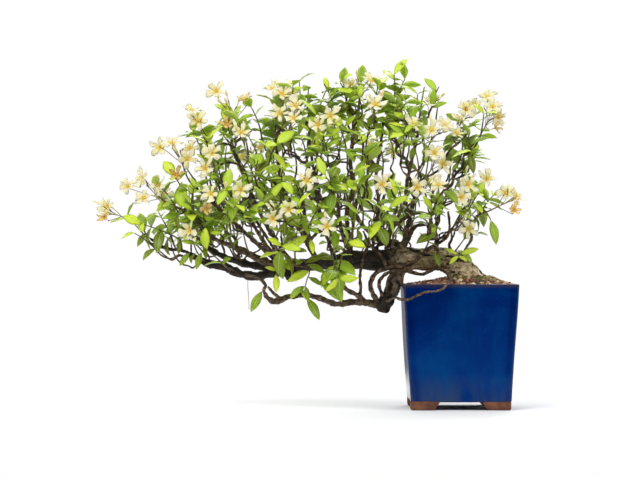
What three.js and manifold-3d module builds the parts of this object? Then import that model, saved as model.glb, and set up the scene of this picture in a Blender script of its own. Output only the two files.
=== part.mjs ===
// Asiatic jasmine bonsai, semi-cascade, in a tall square glazed pot. Millimetres, Z up.
// Places are measured from under the middle of the crown, with the pot to the right.
import * as THREE from "three";
import { mergeVertices } from "three/addons/utils/BufferGeometryUtils.js";
import Module from "manifold-3d";

const wasm = await Module();
wasm.setup();

// Pot and soil
const POT_X = 167;
const POT_RIM = 130;
const POT_BASE = 114;
const POT_TOP = 142;
const POT_WALL = 6;
const POT_FLOOR = 7;
const POT_CORNER = 3.5;
const FOOT_RISE = 9;
const FOOT_WIDE = 33;
const FOOT_NARROW = 27;
const DRAIN_RADIUS = 8;
const MOUND_X = 182;
const MOUND_RISE = 10;
const MOUND_SPREAD = 34;
const GRAIN = 0.8;
const SEAT_GAP = 0.3;

// Wood
const STEP = 7;
const TWIG_RADIUS = 0.95;
const PIPE_POWER = 2.3;
const REACH_COST = 0.35;
const CLIMB_COST = 1.2;
const TURN_COST = 0.5;
const NEAREST_SEAT = 4;
const CLOSED_TIPS = 3;
const STEM_LIFT = 0.35;
const STEM_HANDLE = 0.36;
const SWAY = 0.8;
const SWAY_BY_LENGTH = 0.045;
const BARK_LUMPS = 0.045;

// Leaves and blooms
const HEART_Z = 195;
const SHOOT = 50;
const SHOOT_RADII = [1.05, 1, 0.9, 0.75];
const LEAF_THICK = 1.1;
const LEAF_WIDTH = 0.42;
const LEAF_CLEAR = 0.3;
const BLOOM_RADIUS = 12;
const BLOOM_TUBE = 8;
const OLD_SHARE = 0.72;
const STALK = 14;
const STALK_RADII = [1.05, 0.95];
const PEDICEL = 18;

const UP = new THREE.Vector3(0, 0, 1);
const vec = (x, y, z) => new THREE.Vector3(x, y, z);
const along = (from, direction, distance) => from.clone().addScaledVector(direction, distance);

// Seeded draws between 0 and 1
function chance(seed) {
  let state = seed >>> 0;
  return () => {
    state = (state + 0x6d2b79f5) >>> 0;
    let mixed = Math.imul(state ^ (state >>> 15), state | 1);
    mixed ^= mixed + Math.imul(mixed ^ (mixed >>> 7), mixed | 61);
    return ((mixed ^ (mixed >>> 14)) >>> 0) / 4294967296;
  };
}

// Closed skin over rings of points that run counter-clockwise seen from the last ring.
// A ring of one point closes to a tip, and a first or last ring of more points is capped flat.
// A ring may have a few times as many points as the one before it, which then fan out to it.
function loft(rings) {
  const starts = [];
  const places = [];
  for (const ring of rings) {
    starts.push(places.length / 3);
    for (const point of ring) places.push(point.x, point.y, point.z);
  }
  const faces = [];
  for (let row = 0; row + 1 < rings.length; row += 1) {
    const lows = rings[row].length;
    const highs = rings[row + 1].length;
    const low = (side) => starts[row] + (side % lows);
    const high = (side) => starts[row + 1] + (side % highs);
    const fan = Math.max(1, Math.round(highs / lows));
    const sides = lows === 1 ? 1 : lows;
    for (let side = 0; side < sides; side += 1) {
      for (let step = 0; step < fan && highs > 1; step += 1) {
        faces.push(low(side), high(side * fan + step + 1), high(side * fan + step));
      }
      if (lows > 1) faces.push(low(side), low(side + 1), high((side + 1) * fan));
    }
  }
  const last = starts[rings.length - 1];
  for (let side = 1; side + 1 < rings[0].length; side += 1) faces.push(0, side + 1, side);
  for (let side = 1; side + 1 < rings[rings.length - 1].length; side += 1) {
    faces.push(last, last + side, last + side + 1);
  }
  const geometry = new THREE.BufferGeometry();
  geometry.setAttribute("position", new THREE.Float32BufferAttribute(places, 3));
  geometry.setIndex(faces);
  return geometry;
}

function solidOf(geometry) {
  geometry.deleteAttribute("normal");
  geometry.deleteAttribute("uv");
  const welded = mergeVertices(geometry);
  return new wasm.Manifold(new wasm.Mesh({
    numProp: 3,
    vertProperties: new Float32Array(welded.attributes.position.array),
    triVerts: new Uint32Array(welded.index.array),
  }));
}

function geometryOf(solid) {
  const { vertProperties, triVerts } = solid.getMesh();
  const geometry = new THREE.BufferGeometry();
  geometry.setAttribute("position", new THREE.BufferAttribute(vertProperties, 3));
  geometry.setIndex(new THREE.BufferAttribute(triVerts, 1));
  return geometry;
}

const joined = (solids) => solids.reduce((whole, solid) => whole.add(solid));

// Every solid that a later piece has to stay clear of, with the node that it belongs to
const obstacles = [];

function remember(node, solid) {
  obstacles.push({ node, solid, box: solid.boundingBox() });
}

function isClear(node, solid) {
  const box = solid.boundingBox();
  return obstacles.every((other) => {
    if (other.node === node) return true;
    const apart = [0, 1, 2].some((axis) =>
      box.min[axis] > other.box.max[axis] || box.max[axis] < other.box.min[axis]);
    return apart || solid.intersect(other.solid).isEmpty();
  });
}

// Ring of a tube: round, or lumpy where the bark of the trunk swells between its hollows
function ringAt(centre, across, over, radius, sides, lumps, travelled, twist) {
  return Array.from({ length: sides }, (_, side) => {
    const turn = (side / sides) * Math.PI * 2 + twist;
    const swell = 1 + lumps * (Math.sin(3 * turn + travelled / 11)
      + 0.6 * Math.sin(5 * turn - travelled / 7));
    const point = along(centre, across, Math.cos(turn) * radius * swell);
    return point.addScaledVector(over, Math.sin(turn) * radius * swell);
  });
}

function tubeRings(path, radii, sides, { lumps = 0, endDirection = null, twist = 0 } = {}) {
  let across = null;
  let travelled = 0;
  return path.map((centre, index) => {
    const before = path[Math.max(index - 1, 0)];
    const after = path[Math.min(index + 1, path.length - 1)];
    const isEnd = index === path.length - 1;
    const ahead = isEnd && endDirection ? endDirection : after.clone().sub(before).normalize();
    if (!across) across = Math.abs(ahead.z) < 0.9 ? UP.clone() : vec(1, 0, 0);
    across = across.clone().addScaledVector(ahead, -across.dot(ahead)).normalize();
    travelled += centre.distanceTo(before);
    const over = ahead.clone().cross(across);
    return ringAt(centre, across, over, radii[index], sides, lumps, travelled, twist);
  });
}

// Pot: square ring with rounded corners round its own upright axis
function potRing(width, z, corner) {
  const points = [];
  const inner = width / 2 - corner;
  for (let quarter = 0; quarter < 4; quarter += 1) {
    for (const share of [0, 0.5, 1]) {
      const turn = ((quarter + share) * Math.PI) / 2;
      const middle = ((quarter + 0.5) * Math.PI) / 2;
      const x = Math.sign(Math.cos(middle)) * inner + corner * Math.cos(turn);
      const y = Math.sign(Math.sin(middle)) * inner + corner * Math.sin(turn);
      points.push(vec(POT_X + x, y, z));
    }
  }
  return points;
}

const potWidthAt = (z) =>
  POT_BASE + ((POT_RIM - POT_BASE) * (z - FOOT_RISE)) / (POT_TOP - FOOT_RISE);

function potSolid() {
  const floorZ = FOOT_RISE + POT_FLOOR;
  const body = solidOf(loft([
    potRing(POT_BASE, FOOT_RISE, POT_CORNER),
    potRing(potWidthAt(POT_TOP - 1.5), POT_TOP - 1.5, POT_CORNER),
    potRing(POT_RIM - 2, POT_TOP, POT_CORNER),
  ]));
  const hollow = solidOf(loft([
    potRing(potWidthAt(floorZ) - 2 * POT_WALL, floorZ, POT_CORNER),
    potRing(potWidthAt(POT_TOP + 5) - 2 * POT_WALL, POT_TOP + 5, POT_CORNER),
  ]));
  const drainShape = new THREE.CylinderGeometry(DRAIN_RADIUS, DRAIN_RADIUS, 4 * POT_FLOOR, 12);
  drainShape.rotateX(Math.PI / 2);
  drainShape.translate(POT_X, 0, FOOT_RISE);
  const feet = [[-1, -1], [1, -1], [1, 1], [-1, 1]].map(([sideX, sideY]) => potFoot(sideX, sideY));
  return joined([body.subtract(hollow), ...feet]).subtract(solidOf(drainShape));
}

// Foot: a block under one corner, its inner sides slanting in towards the ground
function potFoot(sideX, sideY) {
  const outer = POT_BASE / 2 - 0.4;
  const square = (wide, z) => {
    const near = outer - wide;
    const xs = [near, outer].map((reach) => POT_X + sideX * reach).sort((a, b) => a - b);
    const ys = [near, outer].map((reach) => sideY * reach).sort((a, b) => a - b);
    return [vec(xs[0], ys[0], z), vec(xs[1], ys[0], z), vec(xs[1], ys[1], z), vec(xs[0], ys[1], z)];
  };
  return solidOf(loft([square(FOOT_NARROW, 0), square(FOOT_WIDE, FOOT_RISE + 1)]));
}

// Soil: square rings that run in from the wall to the middle, raised in a mound with coarse grains
const soilRise = (x, y) => MOUND_RISE
  * Math.exp(-((x - MOUND_X) ** 2 + y ** 2) / (2 * MOUND_SPREAD ** 2));
const grainRise = (x, y) => GRAIN * (Math.sin(x * 0.83 + 1.7 * Math.sin(y * 0.31))
  + Math.cos(y * 0.91 + 1.3 * Math.sin(x * 0.27)));

function soilRing(half, levelOf) {
  const perSide = 6;
  const points = [];
  const corners = [[-1, -1], [1, -1], [1, 1], [-1, 1]];
  corners.forEach(([fromX, fromY], index) => {
    const [toX, toY] = corners[(index + 1) % 4];
    for (let step = 0; step < perSide; step += 1) {
      const x = POT_X + half * (fromX + ((toX - fromX) * step) / perSide);
      const y = half * (fromY + ((toY - fromY) * step) / perSide);
      points.push(vec(x, y, levelOf(x, y)));
    }
  });
  return points;
}

function soilSolid(woodInSoil) {
  const bottom = FOOT_RISE + POT_FLOOR + SEAT_GAP;
  const edge = POT_TOP - 3;
  const halfAt = (z) => potWidthAt(z) / 2 - POT_WALL - SEAT_GAP - POT_CORNER * 0.3;
  const rings = [soilRing(halfAt(bottom), () => bottom), soilRing(halfAt(edge), () => edge)];
  const rows = 4;
  for (let row = 0; row < rows; row += 1) {
    const half = halfAt(edge) * (1 - (row + 0.35) / rows);
    rings.push(soilRing(half, (x, y) => edge + 1 + soilRise(x, y) + grainRise(x, y)));
  }
  rings.push([vec(POT_X, 0, edge + 1 + soilRise(POT_X, 0))]);
  return solidOf(loft(rings)).subtract(woodInSoil);
}

// Limbs by hand: x, y, z and, where it is thicker than its load of stems asks for, the radius.
// Each limb starts on the wood that stands nearest to its first point.
const LIMBS = {
  trunk: [[196, 0, 116, 13], [190, 0, 130, 15.5], [181, 0, 144, 15.5], [170, 1, 157, 14],
    [158, 2, 166, 12], [144, 2, 170, 10.5], [120, 0, 170, 10], [100, -2, 170, 11.5],
    [80, -2, 169, 9.5], [60, 0, 169, 9], [42, 2, 169, 8.5], [26, 4, 165, 7.8], [8, 4, 166, 6.4],
    [-14, 2, 162, 6], [-32, 0, 159, 6]],
  rootRight: [[184, 0, 140, 11], [201, -4, 144, 7.5], [212, -6, 139, 5], [218, -7, 131, 3]],
  rootFront: [[181, 0, 144, 11], [176, -20, 144, 7.5], [170, -32, 137, 4.5], [167, -38, 128, 3]],
  rootBack: [[181, 0, 144, 11], [170, 20, 144, 7], [160, 31, 137, 4.5], [154, 37, 128, 3]],
  stub: [[102, -2, 166, 9.5], [96, -4, 150, 8.2], [90, -5, 133, 7.6], [83, -6, 119, 9],
    [80, -6, 108, 6.5]],
  stubKnob: [[84, -6, 121, 7], [76, -8, 118, 6.5], [70, -9, 118, 4.5]],
  cutLump: [[-28, -1, 159, 6], [-27, -4, 152, 6], [-28, -6, 146, 4]],
  bottom: [[76, -8, 118, 5], [60, -12, 121, 3.8], [44, -16, 121, 3.3], [27, -22, 119, 3.2],
    [14, -28, 124, 3.2], [1, -32, 128, 3], [-14, -36, 129, 2.8], [-28, -40, 127, 3],
    [-41, -42, 122, 3.6], [-50, -44, 126, 2.6], [-55, -44, 134, 1.8], [-53, -40, 141, 1.7],
    [-63, -34, 149, 1.6], [-76, -24, 152, 1.5]],
  bottomFork: [[-38, -42, 124, 2], [-43, -48, 131, 1.8], [-50, -54, 139, 1.4]],
  sideLimb: [[60, -12, 123, 3], [48, -20, 131, 2.6], [38, -28, 136, 2.2], [30, -40, 148, 1.6]],
  frontLoop: [[76, -10, 122, 3], [68, -16, 132, 2.6], [66, -18, 142, 2.6], [71, -18, 153, 2.6],
    [82, -17, 159, 2.8], [98, -15, 162, 2.8], [114, -14, 166, 2.4], [134, -15, 183, 1.9],
    [146, -16, 190, 1.8], [154, -18, 197, 1.6], [156, -22, 207, 1.4], [154, -28, 224, 1.3]],
  soilVine: [[84, -12, 124, 2.4], [76, -18, 138, 2.2], [79, -20, 149, 2.2], [90, -19, 156, 2.3],
    [108, -18, 156, 2.2], [125, -19, 153, 2], [137, -21, 158, 2], [146, -25, 159, 2.2],
    [153, -32, 154, 2.4], [157, -38, 145, 2], [159, -41, 134, 1.6]],
  innerLoop: [[86, -12, 126, 2], [85, -17, 140, 1.7], [88, -19, 150, 1.7], [97, -15, 158, 1.7]],
  thinRise: [[56, -13, 122, 2], [55, -18, 136, 1.6], [54, -18, 150, 1.5], [56, -14, 163, 1.5],
    [59, -13, 176, 1.4], [63, -14, 188, 1.2], [58, -18, 202, 1.1]],
  crossing: [[86, -16, 158, 1.8], [82, -17, 168, 1.6], [77, -15, 176, 1.5], [70, -14, 182, 1.3],
    [64, -16, 190, 1.2]],
  runner: [[84, -13, 120, 2], [88, -30, 124, 1.7], [93, -52, 127, 1.6], [99, -66, 125, 1.6],
    [108, -69.5, 125, 1.6], [118, -69.5, 130, 1.5], [128, -69.5, 133.5, 1.5],
    [140, -69.5, 134.5, 1.5], [148, -69.5, 139, 1.5], [153, -67.5, 145.5, 1.5],
    [157, -61.5, 147, 1.5], [160, -55, 144, 1.5], [162, -52, 134, 1.4]],
  arch: [[101, 0, 178, 5], [98, -2, 186, 4.2], [88, -3, 189.5, 3.4], [79, -4, 189, 3.2],
    [73, -4, 182, 3], [70, -3, 174, 3]],
  archLeft: [[79, -4, 189, 2.6], [74, -6, 196, 2.4], [68, -9, 200, 2.2], [56, -14, 210, 1.8],
    [46, -22, 228, 1.4]],
  archRight: [[80, -4, 190, 2.8], [87, -6, 199, 2.5], [95, -8, 210, 2.3], [108, -10, 218, 2],
    [120, -13, 223, 1.8], [136, -18, 222, 1.5], [148, -26, 231, 1.2]],
  shoulder: [[100, 0, 185, 3.2], [108, 0, 192, 2.8], [113, 1, 201, 2.4], [119, 4, 208, 2],
    [138, 12, 212, 1.6]],
  upright: [[108, -1, 190], [107, -3, 202], [112, -4, 218], [117, -5, 238], [122, -5, 258],
    [135, -6, 266], [148, -8, 275], [151, -8, 284], [158, -8, 296], [168, -6, 304],
    [178, -4, 315]],
  uprightTop: [[112, -4, 218], [107, 2, 242], [111, 6, 270], [118, 6, 300], [124, 0, 326]],
  rightTwig: [[170, 0, 172], [176, -4, 183], [182, -8, 193], [181, -10, 205], [188, -9, 220]],
  riseA: [[66, 2, 176], [70, 10, 202], [77, 16, 230], [73, 18, 262], [78, 14, 296],
    [81, 8, 328]],
  riseB: [[46, 0, 174], [42, -8, 196], [39, -16, 222], [46, -24, 250], [43, -28, 280],
    [46, -22, 310], [46, -12, 334]],
  riseC: [[26, 4, 170], [18, 12, 192], [10, 22, 218], [4, 28, 250], [0, 28, 282], [-4, 22, 312],
    [-2, 18, 330]],
  riseD: [[4, 4, 168], [-8, 4, 192], [-22, 0, 218], [-32, -8, 248], [-40, -12, 282],
    [-42, -10, 310]],
  riseE: [[-18, 2, 165], [-40, 4, 188], [-57, 2, 216], [-72, -4, 250], [-84, -6, 280],
    [-94, -4, 300]],
  riseF: [[-32, 0, 162], [-66, -4, 190], [-98, -8, 220], [-124, -10, 244], [-141, -8, 260],
    [-149, -6, 280]],
  lowLeft: [[-30, 0, 158, 5.5], [-50, -4, 153, 4.6], [-66, -6, 151, 4.2], [-82, -8, 153, 4],
    [-100, -8, 162, 4], [-113, -8, 163, 3.6], [-124, -8, 167, 3.2], [-136, -6, 173, 2.6],
    [-147, -4, 179, 2.2], [-160, -2, 181, 2], [-172, 0, 184, 1.8], [-184, 0, 192, 1.6],
    [-192, 0, 200, 1.4]],
  backLeft: [[-32, 0, 159, 4.5], [-58, 10, 161, 4], [-82, 18, 166, 3.4], [-104, 24, 174, 2.8],
    [-126, 32, 186, 2]],
  foreLeft: [[-34, -2, 160, 4], [-60, -10, 170, 3.6], [-84, -20, 182, 2.8], [-104, -30, 190, 2.2],
    [-122, -38, 198, 1.6]],
  foreA: [[-30, -4, 161], [-48, -24, 180], [-64, -42, 204], [-76, -56, 226]],
  foreB: [[8, 0, 168], [-4, -24, 190], [-16, -46, 214], [-26, -64, 238]],
  foreC: [[40, -4, 171], [36, -26, 192], [30, -50, 218], [28, -70, 244]],
  foreD: [[58, -4, 171], [66, -26, 198], [74, -48, 222], [80, -64, 242]],
  foreLow: [[8, -2, 163], [-8, -26, 162], [-22, -46, 164]],
  backA: [[-30, 4, 161], [-46, 28, 184], [-64, 48, 212], [-76, 60, 234]],
  backB: [[4, 8, 168], [-4, 30, 196], [-10, 54, 226], [-13, 72, 252]],
  backC: [[42, 8, 172], [46, 32, 200], [51, 54, 230], [56, 70, 256]],
  backD: [[80, 6, 174], [92, 26, 204], [105, 42, 232], [116, 54, 254]],
};
const BARE_LIMBS = ["rootRight", "rootFront", "rootBack", "stubKnob", "cutLump", "runner",
  "soilVine", "arch"];

// Blooms by hand: the middle of each flower in each cluster, and a 1 where it is old and shrunk
const BLOOMS = [
  [[-110, -8, 363], [-77, -12, 352, 1], [-97, -20, 324, 1]],
  [[-138, -10, 341], [-130, -20, 328]],
  [[-175, -10, 298], [-159, -22, 303], [-139, -22, 297], [-142, -34, 284], [-154, -26, 266, 1]],
  [[-120, -78, 272], [-113, -70, 290]],
  [[-80, -64, 313]],
  [[-196, -6, 263], [-212, -2, 254], [-192, -26, 240], [-175, -24, 255], [-170, 4, 244]],
  [[-236, 0, 231], [-237, -14, 218, 1]],
  [[-113, -98, 243], [-118, -84, 226, 1], [-80, -98, 247]],
  [[-138, -74, 202]],
  [[-46, -12, 366], [-34, -28, 358], [-24, -4, 360]],
  [[-19, -48, 344], [-37, -50, 335], [-21, -64, 329]],
  [[20, -66, 331], [6, -74, 321]],
  [[-26, -120, 225], [-44, -112, 215]],
  [[16, -118, 206]],
  [[44, -14, 370], [68, -8, 375]],
  [[71, -54, 345]],
  [[138, -16, 353]],
  [[114, -66, 322], [134, -56, 316], [150, -44, 323], [164, -36, 313]],
  [[168, -14, 331], [176, -8, 342], [187, 8, 347]],
  [[201, 0, 357], [206, -12, 345], [213, -4, 333], [211, 8, 321, 1]],
  [[137, -64, 290], [147, -54, 278]],
  [[141, -70, 254], [117, -88, 250]],
  [[77, -104, 253]],
  [[-6, -118, 257]],
  [[176, -40, 255], [168, -50, 240], [199, -14, 262]],
  [[222, -6, 246], [235, 4, 242], [231, -8, 226, 1]],
  [[177, -36, 204]],
  [[-62, 84, 302], [-84, 84, 290]],
  [[70, 92, 306], [96, 84, 298]],
];

// Sprays by hand: the end of the middle shoot of each
const SPRAYS = [
  [45, -4, 372], [4, 18, 366], [88, 6, 366], [125, -6, 358], [-46, 12, 346], [-98, 2, 328],
  [188, 0, 326], [-56, -58, 306], [-50, 76, 318], [44, -72, 318], [20, 82, 330],
  [-122, -30, 304], [172, 6, 288], [-94, -90, 250], [-40, -104, 258], [30, -108, 262],
  [84, -92, 226], [90, 94, 232], [-150, -44, 240], [-196, 0, 216], [-136, 52, 226],
  [-42, -92, 164], [28, -82, 152], [204, -4, 236], [-92, 82, 258], [-20, 98, 270],
  [60, 97, 270], [124, 76, 280],
];

// The way out of the crown at a place, from a heart that follows the place half way along it
function outward(place) {
  return vec(place.x * 0.4, place.y, place.z - HEART_Z).normalize();
}

const nodes = [];
const chains = [];

const isOverPot = (at) => Math.max(Math.abs(at.x - POT_X), Math.abs(at.y)) < POT_RIM / 2;

function addChain(name, path, radii, parent, endDirection) {
  const members = parent === null ? [] : [parent];
  path.forEach((at, index) => {
    if (parent !== null && index === 0) return;
    const before = members.length ? members[members.length - 1] : null;
    const reach = before === null ? 0 : nodes[before].reach + at.distanceTo(nodes[before].at);
    const isBare = BARE_LIMBS.includes(name) || isOverPot(at) && at.z < POT_TOP + 20;
    const isOpen = !isBare && !(endDirection && index >= path.length - CLOSED_TIPS);
    nodes.push({ at, before, reach, radius: radii[index], isOpen });
    members.push(nodes.length - 1);
  });
  chains.push({ name, members, endDirection, firstRadius: radii[0] });
}

function nearestNode(place) {
  let best = null;
  nodes.forEach((node, index) => {
    if (best === null || node.at.distanceTo(place) < nodes[best].at.distanceTo(place)) best = index;
  });
  return best;
}

// Limb: a smooth line through its points, in steps of much the same length
function addLimb(name, rows) {
  const parent = nodes.length ? nearestNode(vec(...rows[0])) : null;
  const points = rows.map(([x, y, z]) => vec(x, y, z));
  if (parent !== null) points[0] = nodes[parent].at.clone();
  const curve = new THREE.CatmullRomCurve3(points, false, "catmullrom", 0.5);
  let length = 0;
  for (let index = 1; index < points.length; index += 1) {
    length += points[index].distanceTo(points[index - 1]);
  }
  const count = Math.max(2, Math.round(length / STEP));
  const path = [];
  const radii = [];
  for (let step = 0; step <= count; step += 1) {
    const share = (step / count) * (rows.length - 1);
    const row = Math.min(Math.floor(share), rows.length - 2);
    const low = rows[row][3] ?? 0;
    const high = rows[row + 1][3] ?? 0;
    path.push(curve.getPoint(step / count));
    radii.push(low + (high - low) * (share - row));
  }
  addChain(name, path, radii, parent, null);
}

Object.entries(LIMBS).forEach(([name, rows]) => addLimb(name, rows));

// Each spray and cluster is carried by a stem that leaves the wood where the way is cheapest:
// short, not far along the wood already, rising, and without a sharp turn at its end.
function seatFor(base, direction) {
  let best = null;
  let least = Infinity;
  nodes.forEach((node, index) => {
    if (!node.isOpen) return;
    const way = base.clone().sub(node.at);
    const length = way.length();
    if (length < NEAREST_SEAT) return;
    const turn = 1 - way.dot(direction) / length;
    const cost = length * (1 + TURN_COST * turn) + REACH_COST * node.reach
      + CLIMB_COST * Math.max(0, node.at.z - base.z);
    if (cost < least) {
      least = cost;
      best = index;
    }
  });
  return best;
}

// Stem: a bow that leaves its seat upwards and ends along the direction given, with a slight winding
function stemPath(from, base, direction, draw) {
  const way = base.clone().sub(from);
  const length = way.length();
  const handle = length * STEM_HANDLE;
  const leave = way.clone().normalize().addScaledVector(UP, STEM_LIFT).normalize();
  const curve = new THREE.CubicBezierCurve3(
    from, along(from, leave, handle), along(base, direction, -handle), base);
  const aside = leave.clone().cross(direction).add(vec(0.1, 0.2, 0.05)).normalize();
  const lift = aside.clone().cross(way).normalize();
  const sway = SWAY + length * SWAY_BY_LENGTH;
  const waves = 1.2 + draw() * 1.2;
  const phase = draw() * Math.PI * 2;
  const count = Math.max(2, Math.round(length / STEP));
  return Array.from({ length: count + 1 }, (_, step) => {
    const share = step / count;
    const swing = sway * Math.sin(Math.PI * share);
    const turn = 2 * Math.PI * waves * share + phase;
    return curve.getPoint(share)
      .addScaledVector(aside, swing * Math.cos(turn))
      .addScaledVector(lift, swing * Math.sin(turn));
  });
}

const ends = [];
BLOOMS.forEach((rows, index) => {
  const middle = rows.reduce((sum, row) => sum.add(vec(row[0], row[1], row[2])), vec(0, 0, 0))
    .divideScalar(rows.length);
  const direction = outward(middle);
  const fork = along(middle, direction, -PEDICEL);
  const base = along(fork, direction, -STALK);
  const name = `bloom_${String(index + 1).padStart(2, "0")}`;
  ends.push({ name, kind: "bloom", index, rows, direction, fork, base });
});
SPRAYS.forEach((row, index) => {
  const tip = vec(...row);
  const direction = outward(tip);
  if (tip.z > HEART_Z) direction.addScaledVector(UP, 0.25).normalize();
  const base = along(tip, direction, -SHOOT);
  const name = `spray_${String(index + 1).padStart(2, "0")}`;
  ends.push({ name, kind: "spray", index, tip, direction, base });
});
const heart = vec(0, 0, HEART_Z);
ends.sort((a, b) => a.base.distanceTo(heart) - b.base.distanceTo(heart));
ends.forEach((end, order) => {
  const seat = seatFor(end.base, end.direction);
  const path = stemPath(nodes[seat].at, end.base, end.direction, chance(100 + order));
  addChain(end.name, path, path.map(() => 0), seat, end.direction);
});

// A stem is as thick as the stems that it carries together, by the pipe rule
const loads = nodes.map(() => 0);
for (let index = nodes.length - 1; index >= 0; index -= 1) {
  const load = Math.max(loads[index], TWIG_RADIUS ** PIPE_POWER);
  const radius = Math.max(nodes[index].radius, load ** (1 / PIPE_POWER));
  nodes[index].radius = radius;
  if (nodes[index].before !== null) loads[nodes[index].before] += load;
}

// Rings of one chain of wood, on every second or third place of its path and wherever a stem leaves
// it. A stem starts slim, hidden in the middle of what carries it.
const forks = new Set(chains.filter((chain) => chain.name !== "trunk").map((chain) => chain.members[0]));

function chainRings(chain, extra = 0) {
  const own = nodes[chain.members[1]].radius;
  const stride = own > 1.8 ? 2 : 3;
  const last = chain.members.length - 1;
  let since = stride;
  const picked = chain.members.filter((member, index) => {
    since += 1;
    const isPicked = index === 0 || index === last || forks.has(member)
      || (since >= stride && last - index > 1);
    if (isPicked) since = 0;
    return isPicked;
  });
  const radii = picked.map((member, index) => {
    const isSeat = index === 0 && chain.name !== "trunk";
    return (isSeat ? Math.max(own * 0.6, chain.firstRadius) : nodes[member].radius) + extra;
  });
  const thickest = Math.max(...radii) - extra;
  let sides = 3;
  if (thickest > 1.6) sides = 4;
  if (thickest > 3.4) sides = 5;
  if (thickest > 5.5) sides = 6;
  if (thickest > 8) sides = 8;
  const lumps = thickest > 8 ? BARK_LUMPS : 0;
  const { endDirection } = chain;
  return tubeRings(picked.map((member) => nodes[member].at), radii, sides, { lumps, endDirection });
}

const chainSolid = (chain, extra = 0) => solidOf(loft(chainRings(chain, extra)));

for (const chain of chains) {
  const rings = chainRings(chain, SEAT_GAP);
  for (let row = 0; row + 1 < rings.length; row += 1) {
    remember("trunk", solidOf(loft([rings[row], rings[row + 1]])));
  }
}

const trunk = joined(chains.map((chain) => chainSolid(chain)));
const buried = chains.filter((chain) => chain.members.some((member) =>
  isOverPot(nodes[member].at) && nodes[member].at.z < POT_TOP + 15));
const woodInSoil = joined(buried.map((chain) => {
  const rings = chainRings(chain, SEAT_GAP);
  const isLow = (ring) => ring[0].z < POT_TOP;
  for (const [edge, next] of [[rings[0], rings[1]], [rings.at(-1), rings.at(-2)]]) {
    const back = edge[0].clone().sub(next[0]).normalize();
    if (isLow(edge)) edge.forEach((point) => point.addScaledVector(back, SEAT_GAP));
  }
  return solidOf(loft(rings));
}));
const pot = potSolid();
const soil = soilSolid(woodInSoil);
remember("pot", pot);
remember("soil", soil);

// Bloom: a slender tube on a thin stalk, opening to five petals like the vanes of a pinwheel.
// Each petal is four points of the outline, as degrees round the flower, a share of its radius and
// a height: the notch beside it, its rising edge, its broad end and its falling edge.
const PETAL = [[0, 0.27, -0.4], [15, 0.72, 1.0], [33, 1.0, 1.3], [57, 0.9, -0.9]];

function bloomShape(fork, centre, facing, radius, twist) {
  const throat = along(centre, facing, -2);
  const calyx = along(centre, facing, -BLOOM_TUBE);
  const stalk = tubeRings([fork, calyx, throat], [0.5, 0.75, 1.5], 4, { endDirection: facing, twist });
  const across = stalk[2][0].clone().sub(throat).normalize();
  const over = facing.clone().cross(across);
  const outline = [];
  for (let petal = 0; petal < 5; petal += 1) {
    for (const [degrees, share, lift] of PETAL) {
      const angle = ((petal * 72 + degrees) * Math.PI) / 180;
      outline.push(along(centre, across, Math.cos(angle) * radius * share)
        .addScaledVector(over, Math.sin(angle) * radius * share)
        .addScaledVector(facing, lift));
    }
  }
  return solidOf(loft([...stalk, outline, [along(centre, facing, -0.8)]]));
}

// A flower stands where its list says, or is shifted along its cluster until it is clear
const SHIFTS = [0, 4, 8, -4, 12, -8, 16];

function bloomCluster(end) {
  const draw = chance(300 + end.index);
  const start = along(end.base, end.direction, SEAT_GAP);
  const isSingle = end.rows.length === 1;
  const seat = isSingle ? start : along(end.fork, end.direction, -1.2);
  const parts = isSingle ? [] : [solidOf(loft(tubeRings([start, end.fork], STALK_RADII, 3)))];
  for (const [x, y, z, old] of end.rows) {
    const radius = (old ? OLD_SHARE : 0.94 + 0.1 * draw()) * BLOOM_RADIUS;
    const twist = draw() * Math.PI * 2;
    const stray = vec(draw() - 0.5, draw() - 0.5, draw() - 0.5);
    const wanted = vec(x, y, z);
    const facing = outward(wanted).multiplyScalar(0.55).addScaledVector(stray, 0.8)
      .add(vec(0, y > 40 ? 0.75 : -0.75, 0.1)).normalize();
    const shapes = SHIFTS.map((shift) =>
      bloomShape(seat, along(wanted, end.direction, shift), facing, radius, twist));
    parts.push(shapes.find((shape) => isClear(end.name, shape)));
  }
  parts.forEach((part) => remember(end.name, part));
  return joined(parts);
}

// Leaf: a pointed blade with a keel under its midrib, arching down from its stalk. Each station is a
// share of the length and of the width.
const LEAF_STATIONS = [[0.3, 0.92], [0.68, 0.84]];

function leafRings({ root, axis, normal, length, droop }, swell, hand = 1) {
  const side = normal.clone().cross(axis).multiplyScalar(hand);
  const at = (share) => {
    const angle = droop * share;
    const face = normal.clone().multiplyScalar(Math.cos(angle)).addScaledVector(axis, Math.sin(angle));
    const middle = along(root, axis, (length * Math.sin(angle)) / droop)
      .addScaledVector(normal, (-length * (1 - Math.cos(angle))) / droop);
    return { middle, face };
  };
  const rings = LEAF_STATIONS.map(([share, wide]) => {
    const half = (wide * length * LEAF_WIDTH) / 2 + swell;
    const { middle, face } = at(share);
    const top = along(middle, face, swell);
    return [along(top, side, half), along(top, side, -half),
      along(middle, face, -LEAF_THICK - swell)];
  });
  return [...rings, [at(1 + swell / 20).middle]];
}

function leafSolid(leaf, swell = 0) {
  return solidOf(loft([[along(leaf.root, leaf.axis, -0.25)], ...leafRings(leaf, swell)]));
}

// Last pair of a shoot: two leaves in one blade, joined across the end of the shoot
function pairSolid([left, right], ahead, swell = 0) {
  const way = right.axis.clone().sub(left.axis).normalize();
  const side = ahead.clone().cross(way).normalize();
  const waist = [[1.2, 0.5], [-1.2, 0.5], [0, -1.4]].map(([across, lift]) =>
    along(right.root, side, across).addScaledVector(ahead, lift));
  return solidOf(loft([...leafRings(left, swell, -1).reverse(), waist, ...leafRings(right, swell)]));
}

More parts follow.
